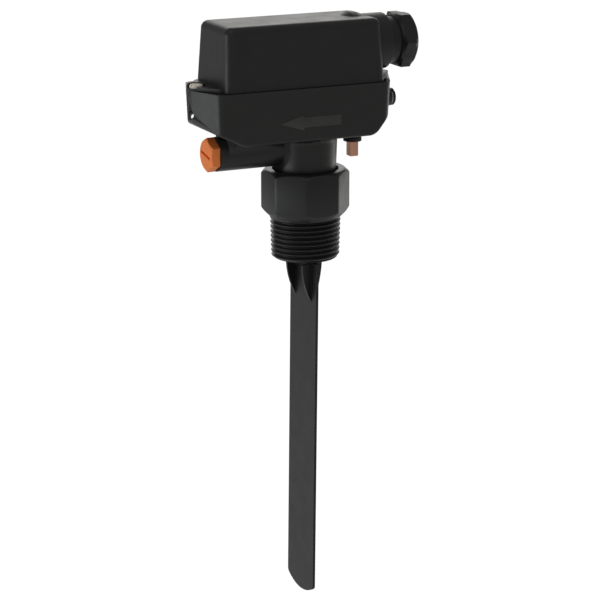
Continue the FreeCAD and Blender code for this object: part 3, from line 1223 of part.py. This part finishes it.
def terminal_clamps():
    """One brass cage in each way, bored for the wire and for its screw."""
    cages = []
    wire_z = TERMINAL_LOW_Z + CAGE_UP + CAGE_WIRE_R + CAGE_FLOOR
    for y in TERMINAL_WAY_Y:
        cage = cage_space(y, CAGE_LENGTH)
        cage = cage.cut(rod(CAGE_WIRE_R, V(TERMINAL_X - CAGE_LENGTH, y, wire_z), 2 * CAGE_LENGTH, X_AXIS))
        cage = cage.cut(rod(CAGE_SCREW_R, V(TERMINAL_X, y, wire_z), CAGE_HEIGHT))
        cages.append(one_solid(cage))
    return Part.makeCompound(cages)


def terminal_screws():
    one = screw(CAGE_SCREW_HEAD_R, CAGE_SCREW_HEAD, CAGE_SCREW_R, CAGE_HEIGHT - CAGE_FLOOR - CAGE_WIRE_R)
    return Part.makeCompound([placed(one, V(TERMINAL_X, y, cage_top()), Z_AXIS, 30 * k)
                              for k, y in enumerate(TERMINAL_WAY_Y)])


def block_screws():
    one = small_screw(TERMINAL_FOOT)
    seat = TERMINAL_LOW_Z + TERMINAL_FOOT
    return Part.makeCompound([placed(one, V(TERMINAL_X, y, seat), Z_AXIS, 70)
                              for y in (-BLOCK_SCREW_Y, BLOCK_SCREW_Y)])


# ================================================================= write the files
def main():
    os.makedirs("parts", exist_ok=True)
    pieces = {
        "process_adapter": process_adapter,
        "neck_seal": neck_seal,
        "hinge_carrier": hinge_carrier,
        "pivot_pin": pivot_pin,
        "snap_ring": snap_ring,
        "paddle": paddle,
        "paddle_magnet": paddle_magnet,
        "base_housing": base_housing,
        "cover": cover,
        "cover_gasket": cover_gasket,
        "cover_screw": cover_screw,
        "gland_seal": gland_seal,
        "gland_washer": gland_washer,
        "gland_nut": gland_nut,
        "adjusting_cap": adjusting_cap,
        "cap_seal": cap_seal,
        "magnet_carrier": magnet_carrier,
        "bias_magnet": bias_magnet,
        "test_button": test_button,
        "test_rod": test_rod,
        "test_collar": test_collar,
        "test_spring": test_spring,
        "test_retainer": test_retainer,
        "end_washer": end_washer,
        "end_screw": end_screw,
        "switch_bracket": switch_bracket,
        "bracket_screws": bracket_screws,
        "follower_pin": follower_pin,
        "follower_lever": follower_lever,
        "follower_magnet": follower_magnet,
        "snap_switch": snap_switch,
        "switch_plunger": switch_plunger,
        "switch_screws": switch_screws,
        "switch_nuts": switch_nuts,
        "terminal_block": terminal_block,
        "terminal_clamps": terminal_clamps,
        "terminal_screws": terminal_screws,
        "block_screws": block_screws}
    for name, make in pieces.items():
        write(name, make())


main()
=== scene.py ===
import json
import math

import bmesh
import bpy
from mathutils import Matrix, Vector


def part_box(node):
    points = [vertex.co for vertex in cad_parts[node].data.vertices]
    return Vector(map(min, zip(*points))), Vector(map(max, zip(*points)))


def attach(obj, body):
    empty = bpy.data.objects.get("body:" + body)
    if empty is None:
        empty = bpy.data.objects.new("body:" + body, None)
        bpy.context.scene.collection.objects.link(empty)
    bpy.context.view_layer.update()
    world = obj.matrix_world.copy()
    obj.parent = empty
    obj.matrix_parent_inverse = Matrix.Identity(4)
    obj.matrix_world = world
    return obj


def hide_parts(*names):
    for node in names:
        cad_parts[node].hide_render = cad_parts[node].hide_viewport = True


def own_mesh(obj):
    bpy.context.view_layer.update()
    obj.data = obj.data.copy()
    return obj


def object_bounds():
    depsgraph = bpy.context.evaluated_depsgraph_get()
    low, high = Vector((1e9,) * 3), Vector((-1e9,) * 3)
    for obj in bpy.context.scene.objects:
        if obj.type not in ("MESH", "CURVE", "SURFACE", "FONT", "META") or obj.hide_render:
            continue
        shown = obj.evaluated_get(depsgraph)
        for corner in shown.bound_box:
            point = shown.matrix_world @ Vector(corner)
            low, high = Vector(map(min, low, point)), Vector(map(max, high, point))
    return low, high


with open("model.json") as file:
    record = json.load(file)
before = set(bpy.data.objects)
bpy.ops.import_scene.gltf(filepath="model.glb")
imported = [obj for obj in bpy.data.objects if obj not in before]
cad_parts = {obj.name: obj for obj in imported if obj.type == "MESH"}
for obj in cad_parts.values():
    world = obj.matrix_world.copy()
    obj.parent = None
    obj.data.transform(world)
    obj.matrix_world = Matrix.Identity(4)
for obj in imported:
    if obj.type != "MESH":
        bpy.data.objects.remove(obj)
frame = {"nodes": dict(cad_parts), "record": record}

# Looks of the paddle flow switch, in metres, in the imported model's own frame: +Z up the thread's
# axis, the flow towards -X, the housing's front facing -Y.

cad_low, cad_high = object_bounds()
MM = 0.001

# ---------------------------------------------------------------- camera
CAMERA_AZIMUTH = math.radians(-25.25)
CAMERA_ELEVATION = math.radians(15.41)
CAMERA_DISTANCE = 1.1082
CAMERA_TARGET = Vector((-0.00276, 0.0, -0.04192))
CAMERA_LENS = 138.0
CAMERA_SENSOR = 36.0
CAMERA_NEAR = 0.05
CAMERA_FAR = 50.0

# ---------------------------------------------------------------- studio
PLAIN = (1, 1, 1)
COOL = (0.95, 0.98, 1.0)
WARM = (1.0, 0.985, 0.955)
AMBIENT = 0.42              # the world's strength as light
REFLECTED = 0.28            # the world's strength in reflections
FLOOR_HALF = 6.0
FLOOR_DROP = 0.30           # from the paddle's tip down to the floor
FLOOR_GREY = 0.85
FLOOR_ROUGHNESS = 0.9
FLOOR_GLOW = 1.10
FLOOR_GLOW_SHARE = 0.9

# ---------------------------------------------------------------- process thread (1 inch taper)
THREAD_PITCH = 2.309 * MM
THREAD_DEPTH = 1.42 * MM
THREAD_TAPER = 1 / 16
THREAD_TOP_R = 16.93 * MM   # over the crests, at the octagon
THREAD_SIDES = 160
THREAD_RUNOUT = 0.5 * MM    # fades out over this height under the octagon
THREAD_START = 1.2 * MM     # rises to its full depth over this height at the lower end
THREAD_WELD = 2e-6
# one ridge: share of the pitch, and height as a share of the depth
THREAD_RIDGE = (
    (0.0, 1.0),
    (0.10, 0.94),
    (0.24, 0.62),
    (0.38, 0.2),
    (0.46, 0.03),
    (0.54, 0.03),
    (0.62, 0.2),
    (0.76, 0.62),
    (0.90, 0.94))

# ---------------------------------------------------------------- octagon, recess, well and bore
OCTAGON_HALF = 19.5 * MM    # half the width across its flats
OCTAGON_CORNER_R = 0.6 * MM
OCTAGON_CORNER_ROOM = 0.2 * MM
LOW_CHAMFER = 4.3 * MM
HIGH_CHAMFER = 2.1 * MM
ADAPTER_TOP_Z = 23.0 * MM
TOP_FLAT_R = 18.6 * MM
TOP_EDGE_R = 18.9 * MM
TOP_EDGE_DROP = 0.05 * MM
EDGE_SOFT = 0.35 * MM
EDGE_IN = EDGE_SOFT * 0.8
LOW_EDGE_DOWN = EDGE_SOFT * 0.7
HIGH_EDGE_UP = EDGE_SOFT * 0.6
RECESS_LIP_R = 16.0 * MM
RECESS_LIP_Z = 22.8 * MM
RECESS_R = 15.8 * MM
RECESS_Z = 20.8 * MM
NECK_GROOVE_R = 14.65 * MM
NECK_GROOVE_Z = 15.5 * MM
WELL_R = 12.0 * MM
WELL_EDGE_Z = 35.3 * MM
WELL_TOP_R = 11.8 * MM
WELL_TOP_Z = 35.5 * MM
BORE_MOUTH_R = 12.9 * MM
BORE_LEAD = 0.5 * MM
BORE_R = 12.4 * MM
BORE_STEP_Z = 14.0 * MM
WELL_BORE_R = 10.4 * MM
WELL_BORE_EDGE_Z = 33.2 * MM
WELL_CEILING_R = 10.1 * MM
WELL_CEILING_Z = 33.5 * MM

# ---------------------------------------------------------------- meshes
WELD = 1e-7                 # points nearer than this are one
SLIVER = 1e-6               # faces narrower than this are dropped


# ================================================================= node materials
class Graph:
    """Builds one material's nodes around a Principled shader."""

    def __init__(self, name):
        self.material = bpy.data.materials.new(name)
        self.material.use_nodes = True
        self.tree = self.material.node_tree
        self.shader = self.tree.nodes["Principled BSDF"]
        self.place = self.add("ShaderNodeTexCoord").outputs["Object"]

    def add(self, kind, **settings):
        node = self.tree.nodes.new(kind)
        for key, value in settings.items():
            setattr(node, key, value)
        return node

    def join(self, output, socket):
        self.tree.links.new(output, socket)

    def noise(self, size, detail, stretch=(1, 1, 1)):
        """Noise whose features are about size metres across, stretched along an axis."""
        scaled = self.add("ShaderNodeVectorMath", operation="MULTIPLY")
        self.join(self.place, scaled.inputs[0])
        scaled.inputs[1].default_value = stretch
        node = self.add("ShaderNodeTexNoise")
        node.inputs["Scale"].default_value = 1 / size
        node.inputs["Detail"].default_value = detail
        node.inputs["Roughness"].default_value = 0.55
        self.join(scaled.outputs[0], node.inputs["Vector"])
        return node.outputs["Fac"]

    def tint(self, value, dark, light):
        """Runs the base colour from dark to light over the middle of the noise's range."""
        ramp = self.add("ShaderNodeValToRGB")
        ramp.color_ramp.elements[0].color = (*dark, 1)
        ramp.color_ramp.elements[1].color = (*light, 1)
        ramp.color_ramp.elements[0].position = 0.3
        ramp.color_ramp.elements[1].position = 0.7
        self.join(value, ramp.inputs["Fac"])
        self.join(ramp.outputs["Color"], self.shader.inputs["Base Color"])

    def gloss(self, value, low, high):
        """Runs the roughness from low to high over the middle of the noise's range."""
        node = self.add("ShaderNodeMapRange")
        node.inputs["From Min"].default_value = 0.3
        node.inputs["From Max"].default_value = 0.7
        node.inputs["To Min"].default_value = low
        node.inputs["To Max"].default_value = high
        self.join(value, node.inputs["Value"])
        self.join(node.outputs["Result"], self.shader.inputs["Roughness"])

    def relief(self, layers, edge=0.0):
        """Stacks bumps of (value, height in metres), over edges softened by a small bevel."""
        normal = None
        if edge:
            bevel = self.add("ShaderNodeBevel", samples=6)
            bevel.inputs["Radius"].default_value = edge
            normal = bevel.outputs["Normal"]
        for value, height in layers:
            bump = self.add("ShaderNodeBump")
            bump.inputs["Strength"].default_value = 1.0
            bump.inputs["Distance"].default_value = height
            self.join(value, bump.inputs["Height"])
            if normal is not None:
                self.join(normal, bump.inputs["Normal"])
            normal = bump.outputs["Normal"]
        self.join(normal, self.shader.inputs["Normal"])


def shade(colour, factor):
    return tuple(channel * factor for channel in colour)


def moulded(name, colour, roughness, grain=0.35 * MM, depth=0.006 * MM, edge=0.25 * MM, mottle=0.14):
    """Moulded plastic: spark-eroded grain, a faint waviness and uneven gloss."""
    graph = Graph(name)
    broad = graph.noise(size=9 * MM, detail=4.0)
    fine = graph.noise(size=grain, detail=2.0)
    graph.tint(broad, dark=shade(colour, 1 - mottle), light=shade(colour, 1 + mottle))
    graph.gloss(broad, low=roughness - 0.04, high=roughness + 0.05)
    graph.relief([(broad, 0.02 * MM), (fine, depth)], edge)
    return graph.material


def rubber(name, colour):
    """Matt moulded rubber with a dusty bloom."""
    graph = Graph(name)
    bloom = graph.noise(size=2.5 * MM, detail=5.0)
    graph.tint(bloom, dark=shade(colour, 0.8), light=shade(colour, 1.5))
    graph.gloss(bloom, low=0.62, high=0.8)
    graph.relief([(graph.noise(size=0.25 * MM, detail=3.0), 0.01 * MM)])
    return graph.material


def metal(name, colour, roughness, stretch=(1, 1, 1), line=0.4 * MM):
    """Worked metal: fine tool lines along one direction, and patches of duller tarnish."""
    graph = Graph(name)
    graph.shader.inputs["Metallic"].default_value = 1.0
    patches = graph.noise(size=2.5 * MM, detail=4.0)
    lines = graph.noise(size=line, detail=2.0, stretch=stretch)
    tarnish = 0.12
    graph.tint(patches, dark=shade(colour, 1 - tarnish), light=shade(colour, 1 + tarnish * 0.5))
    graph.gloss(lines, low=roughness - 0.06, high=roughness + 0.1)
    graph.relief([(lines, 0.004 * MM)], edge=0.12 * MM)
    return graph.material


def ferrite(name):
    """Sintered magnet: dark grey with coarse grains."""
    graph = Graph(name)
    grains = graph.noise(size=0.3 * MM, detail=4.0)
    graph.tint(grains, dark=(0.03, 0.03, 0.033), light=(0.07, 0.07, 0.075))
    graph.gloss(grains, low=0.45, high=0.65)
    graph.relief([(grains, 0.01 * MM)], edge=0.15 * MM)
    return graph.material


# how each of the record's material slots is made
FINISHES = {
    "housing_plastic": (moulded, dict(colour=(0.0096, 0.0088, 0.0082), roughness=0.38)),
    "cover_plastic": (moulded, dict(colour=(0.0094, 0.0094, 0.0096), roughness=0.40)),
    "adapter_plastic": (moulded, dict(colour=(0.0082, 0.0082, 0.0084), roughness=0.38)),
    "gland_plastic": (moulded, dict(
        colour=(0.0062, 0.0062, 0.0064), roughness=0.45, grain=0.5 * MM, depth=0.012 * MM)),
    "paddle_plastic": (moulded, dict(
        colour=(0.0060, 0.0060, 0.0066), roughness=0.42, grain=0.3 * MM, depth=0.004 * MM)),
    "orange_plastic": (moulded, dict(
        colour=(0.95, 0.24, 0.042), roughness=0.5, grain=0.3 * MM, depth=0.005 * MM, edge=0.3 * MM,
        mottle=0.05)),
    "lever_plastic": (moulded, dict(colour=(0.72, 0.70, 0.63), roughness=0.45)),
    "pale_plastic": (moulded, dict(colour=(0.72, 0.66, 0.55), roughness=0.4)),
    "switch_plastic": (moulded, dict(colour=(0.02, 0.02, 0.022), roughness=0.3)),
    "terminal_plastic": (moulded, dict(colour=(0.40, 0.41, 0.42), roughness=0.45)),
    "seal_rubber": (rubber, dict(colour=(0.014, 0.014, 0.014))),
    "stainless": (metal, dict(colour=(0.62, 0.62, 0.63), roughness=0.28, stretch=(1, 1, 6))),
    "dark_steel": (metal, dict(colour=(0.05, 0.05, 0.055), roughness=0.4)),
    "zinc_sheet": (metal, dict(colour=(0.60, 0.61, 0.63), roughness=0.35, line=1.5 * MM)),
    "brass": (metal, dict(colour=(0.72, 0.55, 0.27), roughness=0.3)),
    "copper": (metal, dict(colour=(0.78, 0.42, 0.30), roughness=0.42, stretch=(3, 3, 1))),
    "spring_steel": (metal, dict(colour=(0.5, 0.5, 0.52), roughness=0.3)),
    "ferrite": (ferrite, {}),
}
materials = {slot: make(slot, **settings) for slot, (make, settings) in FINISHES.items()}


def dress(obj, material):
    """Gives an object one material and nothing else."""
    obj.data.materials.clear()
    obj.data.materials.append(material)


for part in frame["record"]["subparts"]:
    dress(frame["nodes"][part["node"]], materials[part["material_slot"]])


# ================================================================= objects and meshes
def place(name, data):
    """Puts a new object with the given data into the scene."""
    obj = bpy.data.objects.new(name, data)
    bpy.context.scene.collection.objects.link(obj)
    return obj


def mesh_object(name, bm):
    """Puts a bmesh into the scene as an object."""
    mesh = bpy.data.meshes.new(name)
    bm.to_mesh(mesh)
    bm.free()
    return place(name, mesh)


def face_along(obj, direction):
    """Turns a camera or a lamp to look along a direction."""
    obj.rotation_mode = "QUATERNION"
    obj.rotation_quaternion = direction.to_track_quat("-Z", "Y")


def smooth(mesh, angle):
    """Shades a mesh smooth, but for edges sharper than an angle in degrees."""
    mesh.shade_smooth()
    mesh.set_sharp_from_angle(angle=math.radians(angle))


def new_piece(name, bm, slot, body, smooth_angle=35):
    """Turns a bmesh into a piece of the object, on one body and with one slot's finish."""
    bmesh.ops.remove_doubles(bm, verts=bm.verts, dist=WELD)
    bmesh.ops.recalc_face_normals(bm, faces=bm.faces)
    obj = mesh_object(name, bm)
    smooth(obj.data, smooth_angle)
    dress(obj, materials[slot])
    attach(obj, body)
    return obj


def skin(bm, rings, closed=True):
    """Joins rows of points, each of the same count, with quads. Closed rows are rings."""
    rows = [[bm.verts.new(point) for point in ring] for ring in rings]
    for low, high in zip(rows, rows[1:]):
        count = len(low)
        for k in range(count if closed else count - 1):
            n = (k + 1) % count
            bm.faces.new((low[k], low[n], high[n], high[k]))
    return rows


# ================================================================= studio
def make_camera():
    back = Vector((
        math.sin(CAMERA_AZIMUTH) * math.cos(CAMERA_ELEVATION),
        -math.cos(CAMERA_AZIMUTH) * math.cos(CAMERA_ELEVATION),
        math.sin(CAMERA_ELEVATION)))
    camera = place("camera", bpy.data.cameras.new("camera"))
    camera.data.lens = CAMERA_LENS
    camera.data.sensor_width = CAMERA_SENSOR
    camera.data.clip_start = CAMERA_NEAR
    camera.data.clip_end = CAMERA_FAR
    camera.location = CAMERA_TARGET + back * CAMERA_DISTANCE
    face_along(camera, -back)
    bpy.context.scene.camera = camera


def softbox(name, direction, distance, size, power, tone=PLAIN):
    """A large square lamp that faces the origin from a direction."""
    lamp = bpy.data.lights.new(name, "AREA")
    lamp.shape = "SQUARE"
    lamp.size = size
    lamp.energy = power
    lamp.color = tone
    obj = place(name, lamp)
    towards = Vector(direction).normalized()
    obj.location = towards * distance
    face_along(obj, -towards)
    obj.visible_camera = False


def make_world():
    """White behind everything the camera sees, and a plain grey room for light and reflections."""
    world = bpy.data.worlds.new("studio")
    bpy.context.scene.world = world
    world.use_nodes = True
    tree = world.node_tree
    background = tree.nodes["Background"]
    path = tree.nodes.new("ShaderNodeLightPath")
    by_glossy = tree.nodes.new("ShaderNodeMix")
    by_camera = tree.nodes.new("ShaderNodeMix")
    for node in (by_glossy, by_camera):
        node.data_type = "FLOAT"
    by_glossy.inputs["A"].default_value = AMBIENT
    by_glossy.inputs["B"].default_value = REFLECTED
    by_camera.inputs["B"].default_value = 1.0
    tree.links.new(path.outputs["Is Glossy Ray"], by_glossy.inputs["Factor"])
    tree.links.new(by_glossy.outputs["Result"], by_camera.inputs["A"])
    tree.links.new(path.outputs["Is Camera Ray"], by_camera.inputs["Factor"])
    tree.links.new(by_camera.outputs["Result"], background.inputs["Strength"])
    background.inputs["Color"].default_value = (1, 1, 1, 1)


def make_floor():
    """A plain pale floor, well under the paddle's tip, that shows white and keeps a faint shadow."""
    z = cad_low.z - FLOOR_DROP
    bm = bmesh.new()
    bm.faces.new([bm.verts.new((x * FLOOR_HALF, y * FLOOR_HALF, z))
                  for x, y in ((-1, -1), (1, -1), (1, 1), (-1, 1))])
    floor = mesh_object("floor", bm)
    material = bpy.data.materials.new("floor")
    material.use_nodes = True
    tree = material.node_tree
    plain = tree.nodes["Principled BSDF"]
    plain.inputs["Base Color"].default_value = (FLOOR_GREY, FLOOR_GREY, FLOOR_GREY, 1)
    plain.inputs["Roughness"].default_value = FLOOR_ROUGHNESS
    glow = tree.nodes.new("ShaderNodeEmission")
    glow.inputs["Strength"].default_value = FLOOR_GLOW
    path = tree.nodes.new("ShaderNodeLightPath")
    mix = tree.nodes.new("ShaderNodeMixShader")
    share = tree.nodes.new("ShaderNodeMath")
    share.operation = "MULTIPLY"
    share.inputs[1].default_value = FLOOR_GLOW_SHARE
    tree.links.new(path.outputs["Is Camera Ray"], share.inputs[0])
    tree.links.new(share.outputs[0], mix.inputs["Fac"])
    tree.links.new(plain.outputs["BSDF"], mix.inputs[1])
    tree.links.new(glow.outputs["Emission"], mix.inputs[2])
    tree.links.new(mix.outputs["Shader"], tree.nodes["Material Output"].inputs["Surface"])
    dress(floor, material)


make_camera()
make_world()
softbox("left_softbox", (-0.96, 0.14, -0.24), distance=1.1, size=0.9, power=4.1, tone=COOL)
softbox("right_softbox", (0.93, 0.25, -0.27), distance=1.0, size=0.6, power=1.2, tone=WARM)
softbox("back_softbox", (0.40, 0.88, 0.26), distance=1.6, size=1.2, power=6.0, tone=WARM)
softbox("top_softbox", (-0.3, -0.45, 1.0), distance=1.8, size=1.2, power=2)
make_floor()


# ================================================================= process adapter with its thread
def around(angle, radius, z):
    """Point at an angle and a radius from the thread's axis."""
    return (radius * math.cos(angle), radius * math.sin(angle), z)


def octagon_radius(angle):
    """Distance from the axis to the octagon's side, its corners rounded."""
    step = math.pi / 4
    off = (angle + step / 2) % step - step / 2
    plain = OCTAGON_HALF / math.cos(off)
    reach = (OCTAGON_HALF - OCTAGON_CORNER_R) / math.cos(step / 2)
    turn = step / 2 - abs(off)
    across = reach * math.sin(turn)
    if across >= OCTAGON_CORNER_R:
        return plain
    return min(plain, reach * math.cos(turn) + math.sqrt(OCTAGON_CORNER_R ** 2 - across ** 2))


def outer_profile(angle):
    """(radius, z) from the thread's top over the octagon, down round the neck and up the well."""
    radius = octagon_radius(angle)
    corner = OCTAGON_HALF / math.cos(math.pi / 8) + OCTAGON_CORNER_ROOM
    low_z = LOW_CHAMFER * (radius - THREAD_TOP_R) / (corner - THREAD_TOP_R)
    high_z = ADAPTER_TOP_Z - HIGH_CHAMFER * (radius - TOP_EDGE_R) / (corner - TOP_EDGE_R)
    return (
        (THREAD_TOP_R, 0.0),
        (radius - EDGE_IN, low_z - LOW_EDGE_DOWN),
        (radius, low_z + EDGE_SOFT),
        (radius, high_z - EDGE_SOFT),
        (radius - EDGE_IN, high_z + HIGH_EDGE_UP),
        (TOP_EDGE_R, ADAPTER_TOP_Z - TOP_EDGE_DROP),
        (TOP_FLAT_R, ADAPTER_TOP_Z),
        (RECESS_LIP_R, ADAPTER_TOP_Z),
        (RECESS_R, RECESS_LIP_Z),
        (RECESS_R, RECESS_Z),
        (NECK_GROOVE_R, RECESS_Z),
        (NECK_GROOVE_R, NECK_GROOVE_Z),
        (WELL_R, NECK_GROOVE_Z),
        (WELL_R, WELL_EDGE_Z),
        (WELL_TOP_R, WELL_TOP_Z),
        (0.0, WELL_TOP_Z))


def crest(z):
    """Radius over the thread's crests."""
    return THREAD_TOP_R + z * THREAD_TAPER / 2


def thread_rows(bottom, angles):
    """Rows along the helix, one per point of the ridge, clamped to the thread's two ends."""
    turns = int(math.ceil(-bottom / THREAD_PITCH)) + 1
    rows = []
    for turn in range(-1, turns + 1):
        for share, height in THREAD_RIDGE:
            row = []
            for k, angle in enumerate(angles + [2 * math.pi]):
                z = bottom + THREAD_PITCH * (turn + share + k / THREAD_SIDES)
                z = min(max(z, bottom), 0.0)
                fade = min(1.0, -z / THREAD_RUNOUT)
                start = min(1.0, (z - bottom) / THREAD_START)
                cut = (1 - height) * THREAD_DEPTH * fade
                row.append(around(angle, crest(z) - max(cut, (1 - start) * THREAD_DEPTH), z))
            rows.append(row)
    return rows


def adapter():
    """Octagon, taper thread, bore and well: the moulded adapter with a real helical thread."""
    low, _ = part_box("process_adapter")
    bottom = low.z
    angles = [2 * math.pi * k / THREAD_SIDES for k in range(THREAD_SIDES)]
    outside = zip(*(outer_profile(angle) for angle in angles))
    inside = (
        (crest(bottom) - THREAD_DEPTH, bottom),
        (BORE_MOUTH_R, bottom),
        (BORE_R, bottom + BORE_LEAD),
        (BORE_R, BORE_STEP_Z),
        (WELL_BORE_R, BORE_STEP_Z),
        (WELL_BORE_R, WELL_BORE_EDGE_Z),
        (WELL_CEILING_R, WELL_CEILING_Z),
        (0.0, WELL_CEILING_Z))
    bm = bmesh.new()
    skin(bm, [[around(angle, *point) for angle, point in zip(angles, row)] for row in outside])
    skin(bm, [[around(angle, *point) for angle in angles] for point in inside])
    skin(bm, thread_rows(bottom, angles), closed=False)
    bmesh.ops.remove_doubles(bm, verts=bm.verts, dist=THREAD_WELD)
    bmesh.ops.dissolve_degenerate(bm, edges=bm.edges, dist=SLIVER)
    piece = new_piece("threaded_adapter", bm, "adapter_plastic", "housing")
    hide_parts("process_adapter")


adapter()


# ================================================================= flow arrow on the housing's front
def flow_arrow():
    """Plain raised arrow that points along the flow, on the drafted front wall."""
    low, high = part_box("base_housing")
    seam_z = high.z
    foot_z = 39.6 * MM
    draft = 1.0 * MM
    half_depth = -low.y
    proud = 0.30 * MM
    sunk = 0.3 * MM
    edge = 0.22 * MM
    tip_x = -22.5 * MM
    head_x = -10.0 * MM
    end_x = 9.0 * MM
    mid_z = 49.1 * MM
    head_half = 3.7 * MM
    bar_half = 2.5 * MM
    outline = (
        (tip_x, mid_z),
        (head_x, mid_z - head_half),
        (head_x, mid_z - bar_half),
        (end_x, mid_z - bar_half),
        (end_x, mid_z + bar_half),
        (head_x, mid_z + bar_half),
        (head_x, mid_z + head_half))

    def wall_y(z):
        return -(half_depth - draft * (seam_z - z) / (seam_z - foot_z))

    bm = bmesh.new()
    face = bm.faces.new([bm.verts.new((x, wall_y(z) + sunk, z)) for x, z in outline])
    top = bmesh.ops.extrude_face_region(bm, geom=[face])
    raised = [v for v in top["geom"] if isinstance(v, bmesh.types.BMVert)]
    for vert in raised:
        vert.co.y -= proud + sunk
    rim = [e for e in bm.edges if e.verts[0] in raised and e.verts[1] in raised]
    bmesh.ops.bevel(bm, geom=rim, offset=edge, segments=3, affect="EDGES", profile=0.5)
    piece = new_piece("flow_arrow", bm, "housing_plastic", "housing")
    # The raised arrow gets its own plastic: a lighter grey than the housing's, with stronger mottling.
    dress(piece, moulded(
        "lighter_arrow_plastic", colour=(0.034, 0.033, 0.030), roughness=0.34, grain=0.8 * MM,
        depth=0.02 * MM, edge=0.15 * MM, mottle=0.3))


flow_arrow()


# ================================================================= lock-wire hole, open at the back
def lock_drill(low, high):
    """An oval bar along the askew hole in the left ear, from the ear's middle out past its back."""
    screw_low, screw_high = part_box("cover_screw")
    turn = math.radians(25)
    slope = math.radians(14)
    hole_z = 52.7 * MM
    beside = 2.2                # mm from the screw's axis
    half_width = 1.08 * MM
    half_rise = 0.5 * MM
    sides = 24
    near = 4 * MM
    far = (high.y - low.y) * 0.7
    along = Vector((math.cos(slope) * math.sin(turn), math.cos(slope) * math.cos(turn), -math.sin(slope)))
    across = Vector((math.cos(turn), -math.sin(turn), 0))
    upright = across.cross(along)
    start = Vector(((screw_low.x + screw_high.x) / 2, 0, hole_z)) - across * beside * MM
    corners = []
    for k in range(sides):
        angle = 2 * math.pi * (k + 0.5) / sides
        lift = half_rise if math.sin(angle) > 0 else -half_rise
        sideways = across * half_width * math.cos(angle)
        corners.append(sideways + upright * (half_width * math.sin(angle) + lift))
    bm = bmesh.new()
    for row in skin(bm, [[start + along * reach + corner for corner in corners] for reach in (near, far)]):
        bm.faces.new(row)
    bmesh.ops.recalc_face_normals(bm, faces=bm.faces)
    return mesh_object("drill", bm)


def drilled_housing():
    """The lower housing with the left ear's hole run on to its back wall."""
    low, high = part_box("base_housing")
    drill = lock_drill(low, high)
    bm = bmesh.new()
    bm.from_mesh(frame["nodes"]["base_housing"].data)
    piece = new_piece("drilled_housing", bm, "housing_plastic", "housing")
    cut = piece.modifiers.new("lock_hole", "BOOLEAN")
    cut.operation = "DIFFERENCE"
    cut.solver = "EXACT"
    cut.object = drill
    seen = piece.evaluated_get(bpy.context.evaluated_depsgraph_get())
    finished = bpy.data.meshes.new_from_object(seen)
    piece.modifiers.clear()
    piece.data = finished
    bpy.data.objects.remove(drill)
    smooth(finished, 30)
    even = piece.modifiers.new("even_shading", "WEIGHTED_NORMAL")
    even.keep_sharp = True
    even.weight = 80
    dress(piece, materials["housing_plastic"])
    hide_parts("base_housing")


drilled_housing()


# ================================================================= gland nut
def gland_nut():
    """Hexagon nut with turned ends, and a thin sleeve that leaves a deep groove before it."""
    low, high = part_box("gland_nut")
    axis_z = (low.z + high.z) / 2
    flat = (high.z - low.z) / 2
    step = math.pi / 3
    corner = flat / math.cos(step / 2)
    start = high.x - 9.0 * MM
    lip = high.x - 3.4 * MM
    hole = 7.4 * MM
    sleeve = 11.0 * MM
    bore = 10.65 * MM
    sides = 144
    # (x, greatest radius) of each turned section, outside and then back through the hole
    sections = (
        (low.x, sleeve),
        (start - 0.1 * MM, sleeve),
        (start + 0.1 * MM, flat - 0.9 * MM),
        (start + 0.4 * MM, flat - 0.5 * MM),
        (start + 1.6 * MM, corner + 0.1 * MM),
        (high.x - 2.6 * MM, corner + 0.1 * MM),
        (high.x - 1.1 * MM, flat + 0.2 * MM),
        (high.x - 0.5 * MM, flat - 0.7 * MM),
        (high.x - 0.1 * MM, flat - 1.3 * MM),
        (high.x, flat - 1.8 * MM),
        (high.x, hole + 0.4 * MM),
        (high.x - 0.4 * MM, hole),
        (lip, hole),
        (lip, bore),
        (low.x, bore))
    rings = []
    for x, limit in sections + sections[:1]:
        ring = []
        for k in range(sides):
            angle = 2 * math.pi * k / sides
            off = (angle - math.pi / 2 + step / 2) % step - step / 2
            radius = min(flat / math.cos(off), limit)
            ring.append((x, radius * math.cos(angle), axis_z + radius * math.sin(angle)))
        rings.append(ring)
    bm = bmesh.new()
    skin(bm, rings)
    piece = new_piece("turned_gland_nut", bm, "gland_plastic", "housing", smooth_angle=25)
    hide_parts("gland_nut")


gland_nut()


# ================================================================= test rod's return spring
def return_spring():
    """Round-wire coil spring, attached to the test push's body."""
    low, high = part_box("test_spring")
    wire = 0.29 * MM
    play = 0.01 * MM
    turns = 4
    steps = 36
    wire_sides = 10
    middle = (low + high) / 2
    coil = (high.x - low.x) / 2 - wire - play
    rise = high.z - low.z - 2 * wire
    rings = []
    for k in range(turns * steps + 1):
        share = k / (turns * steps)
        angle = 2 * math.pi * turns * share
        outward = Vector((math.cos(angle), math.sin(angle), 0))
        centre = Vector((middle.x, middle.y, low.z + wire + rise * share)) + outward * coil
        ring = []
        for side in range(wire_sides):
            turn = 2 * math.pi * side / wire_sides
            ring.append(centre + wire * (math.cos(turn) * outward + Vector((0, 0, math.sin(turn)))))
        rings.append(ring)
    bm = bmesh.new()
    rows = skin(bm, rings)
    bm.faces.new(rows[0])
    bm.faces.new(rows[-1])
    piece = new_piece("return_spring", bm, "spring_steel", "test_push", smooth_angle=50)
    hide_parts("test_spring")
    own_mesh(piece)


return_spring()


# ================================================================= view transform
bpy.context.scene.view_settings.view_transform = "Standard"
